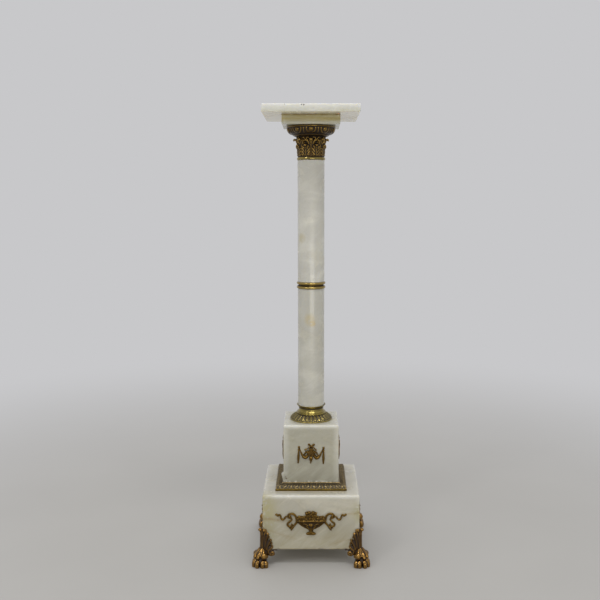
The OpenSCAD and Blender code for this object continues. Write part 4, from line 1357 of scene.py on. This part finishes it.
# %% The floor
WALL = shade(200, 200, 202)
SIZE = 6
floor_mesh = bpy.data.meshes.new("pale floor")
corners = [(x * SIZE, y * SIZE, 0) for x, y in ((-1, -1), (1, -1), (1, 1), (-1, 1))]
floor_mesh.from_pydata(corners, [], [(0, 1, 2, 3)])
floor = bpy.data.objects.new("pale_floor", floor_mesh)
bpy.context.scene.collection.objects.link(floor)
paint = Graph("pale floor paint")
paint.finish(Base_Color=paint.over(shade(174, 172, 167), shade(181, 179, 174), paint.noise(3, 3)), Roughness=0.6)
# far from the column the floor turns into the wall's own pale colour, so no edge shows
x, y, z = paint.split()
far = paint.ramp(paint.math("SQRT", paint.plus(paint.times(x, x), paint.times(y, y))), 0.45, 2.6)
glow = paint.nodes.new("ShaderNodeEmission")
glow.inputs["Color"].default_value = (*WALL, 1)
blend = paint.nodes.new("ShaderNodeMixShader")
for socket, source in zip(blend.inputs, (far, paint.shader.outputs[0], glow.outputs[0])):
    paint.links.new(source, socket)
paint.links.new(blend.outputs[0], paint.nodes["Material Output"].inputs["Surface"])
floor_mesh.materials.append(paint.material)
print("floor laid,", 2 * SIZE, "m square")

# %% The room's light
# a sky that is the wall's colour round about and brighter overhead, as a white ceiling is
world = bpy.data.worlds.new("pale room")
bpy.context.scene.world = world
world.use_nodes = True
nodes, links = world.node_tree.nodes, world.node_tree.links
coord, apart, rise = (nodes.new("ShaderNode" + kind) for kind in ("TexCoord", "SeparateXYZ", "MapRange"))
links.new(coord.outputs["Generated"], apart.inputs[0])
rise.interpolation_type = "SMOOTHSTEP"
links.new(apart.outputs[2], rise.inputs["Value"])
for name, v in (("From Min", 0.45), ("From Max", 0.9), ("To Min", 1), ("To Max", 1.6)):
    rise.inputs[name].default_value = v
links.new(rise.outputs["Result"], nodes["Background"].inputs["Strength"])
nodes["Background"].inputs["Color"].default_value = (*WALL, 1)
print("the room is pale, with a brighter ceiling")

# %% Lamps
def lamp(name, place, target, size, power, colour=(1, 1, 1)):
    data = bpy.data.lights.new(name, "AREA")
    data.shape, data.size, data.size_y, data.energy, data.color = "RECTANGLE", *size, power, colour
    ob = bpy.data.objects.new(name, data)
    ob.location = place
    ob.rotation_euler = (Vector(target) - Vector(place)).to_track_quat("-Z", "Y").to_euler()
    bpy.context.scene.collection.objects.link(ob)


lamp("window on the left", (-1.7, -1.9, 2.3), (0, 0, 0.6), (0.6, 1.1), 11, (1, 0.99, 0.97))
lamp("tube lights overhead", (0.2, -0.9, 2.9), (0, 0, 0.4), (1.3, 0.3), 15)
lamp("light off the floor in front", (0.5, -3.1, 0.35), (0, 0, 1), (2, 0.6), 15, (1, 0.97, 0.9))
print("three lamps lit")

# %% Camera
TILT_DOWN = 6.83
camera_data = bpy.data.cameras.new("eye level camera")
camera = bpy.data.objects.new("camera", camera_data)
bpy.context.scene.collection.objects.link(camera)
bpy.context.scene.camera = camera
camera_data.sensor_width = 36
camera_data.lens = 47.6
camera_data.shift_x = -0.0225
camera.location = (0.006, -1.962, 0.870)
camera.rotation_euler = (math.radians(90 - TILT_DOWN), 0, 0)
bpy.context.scene.view_settings.view_transform = "Standard"
print("camera at", tuple(round(v, 3) for v in camera.location))
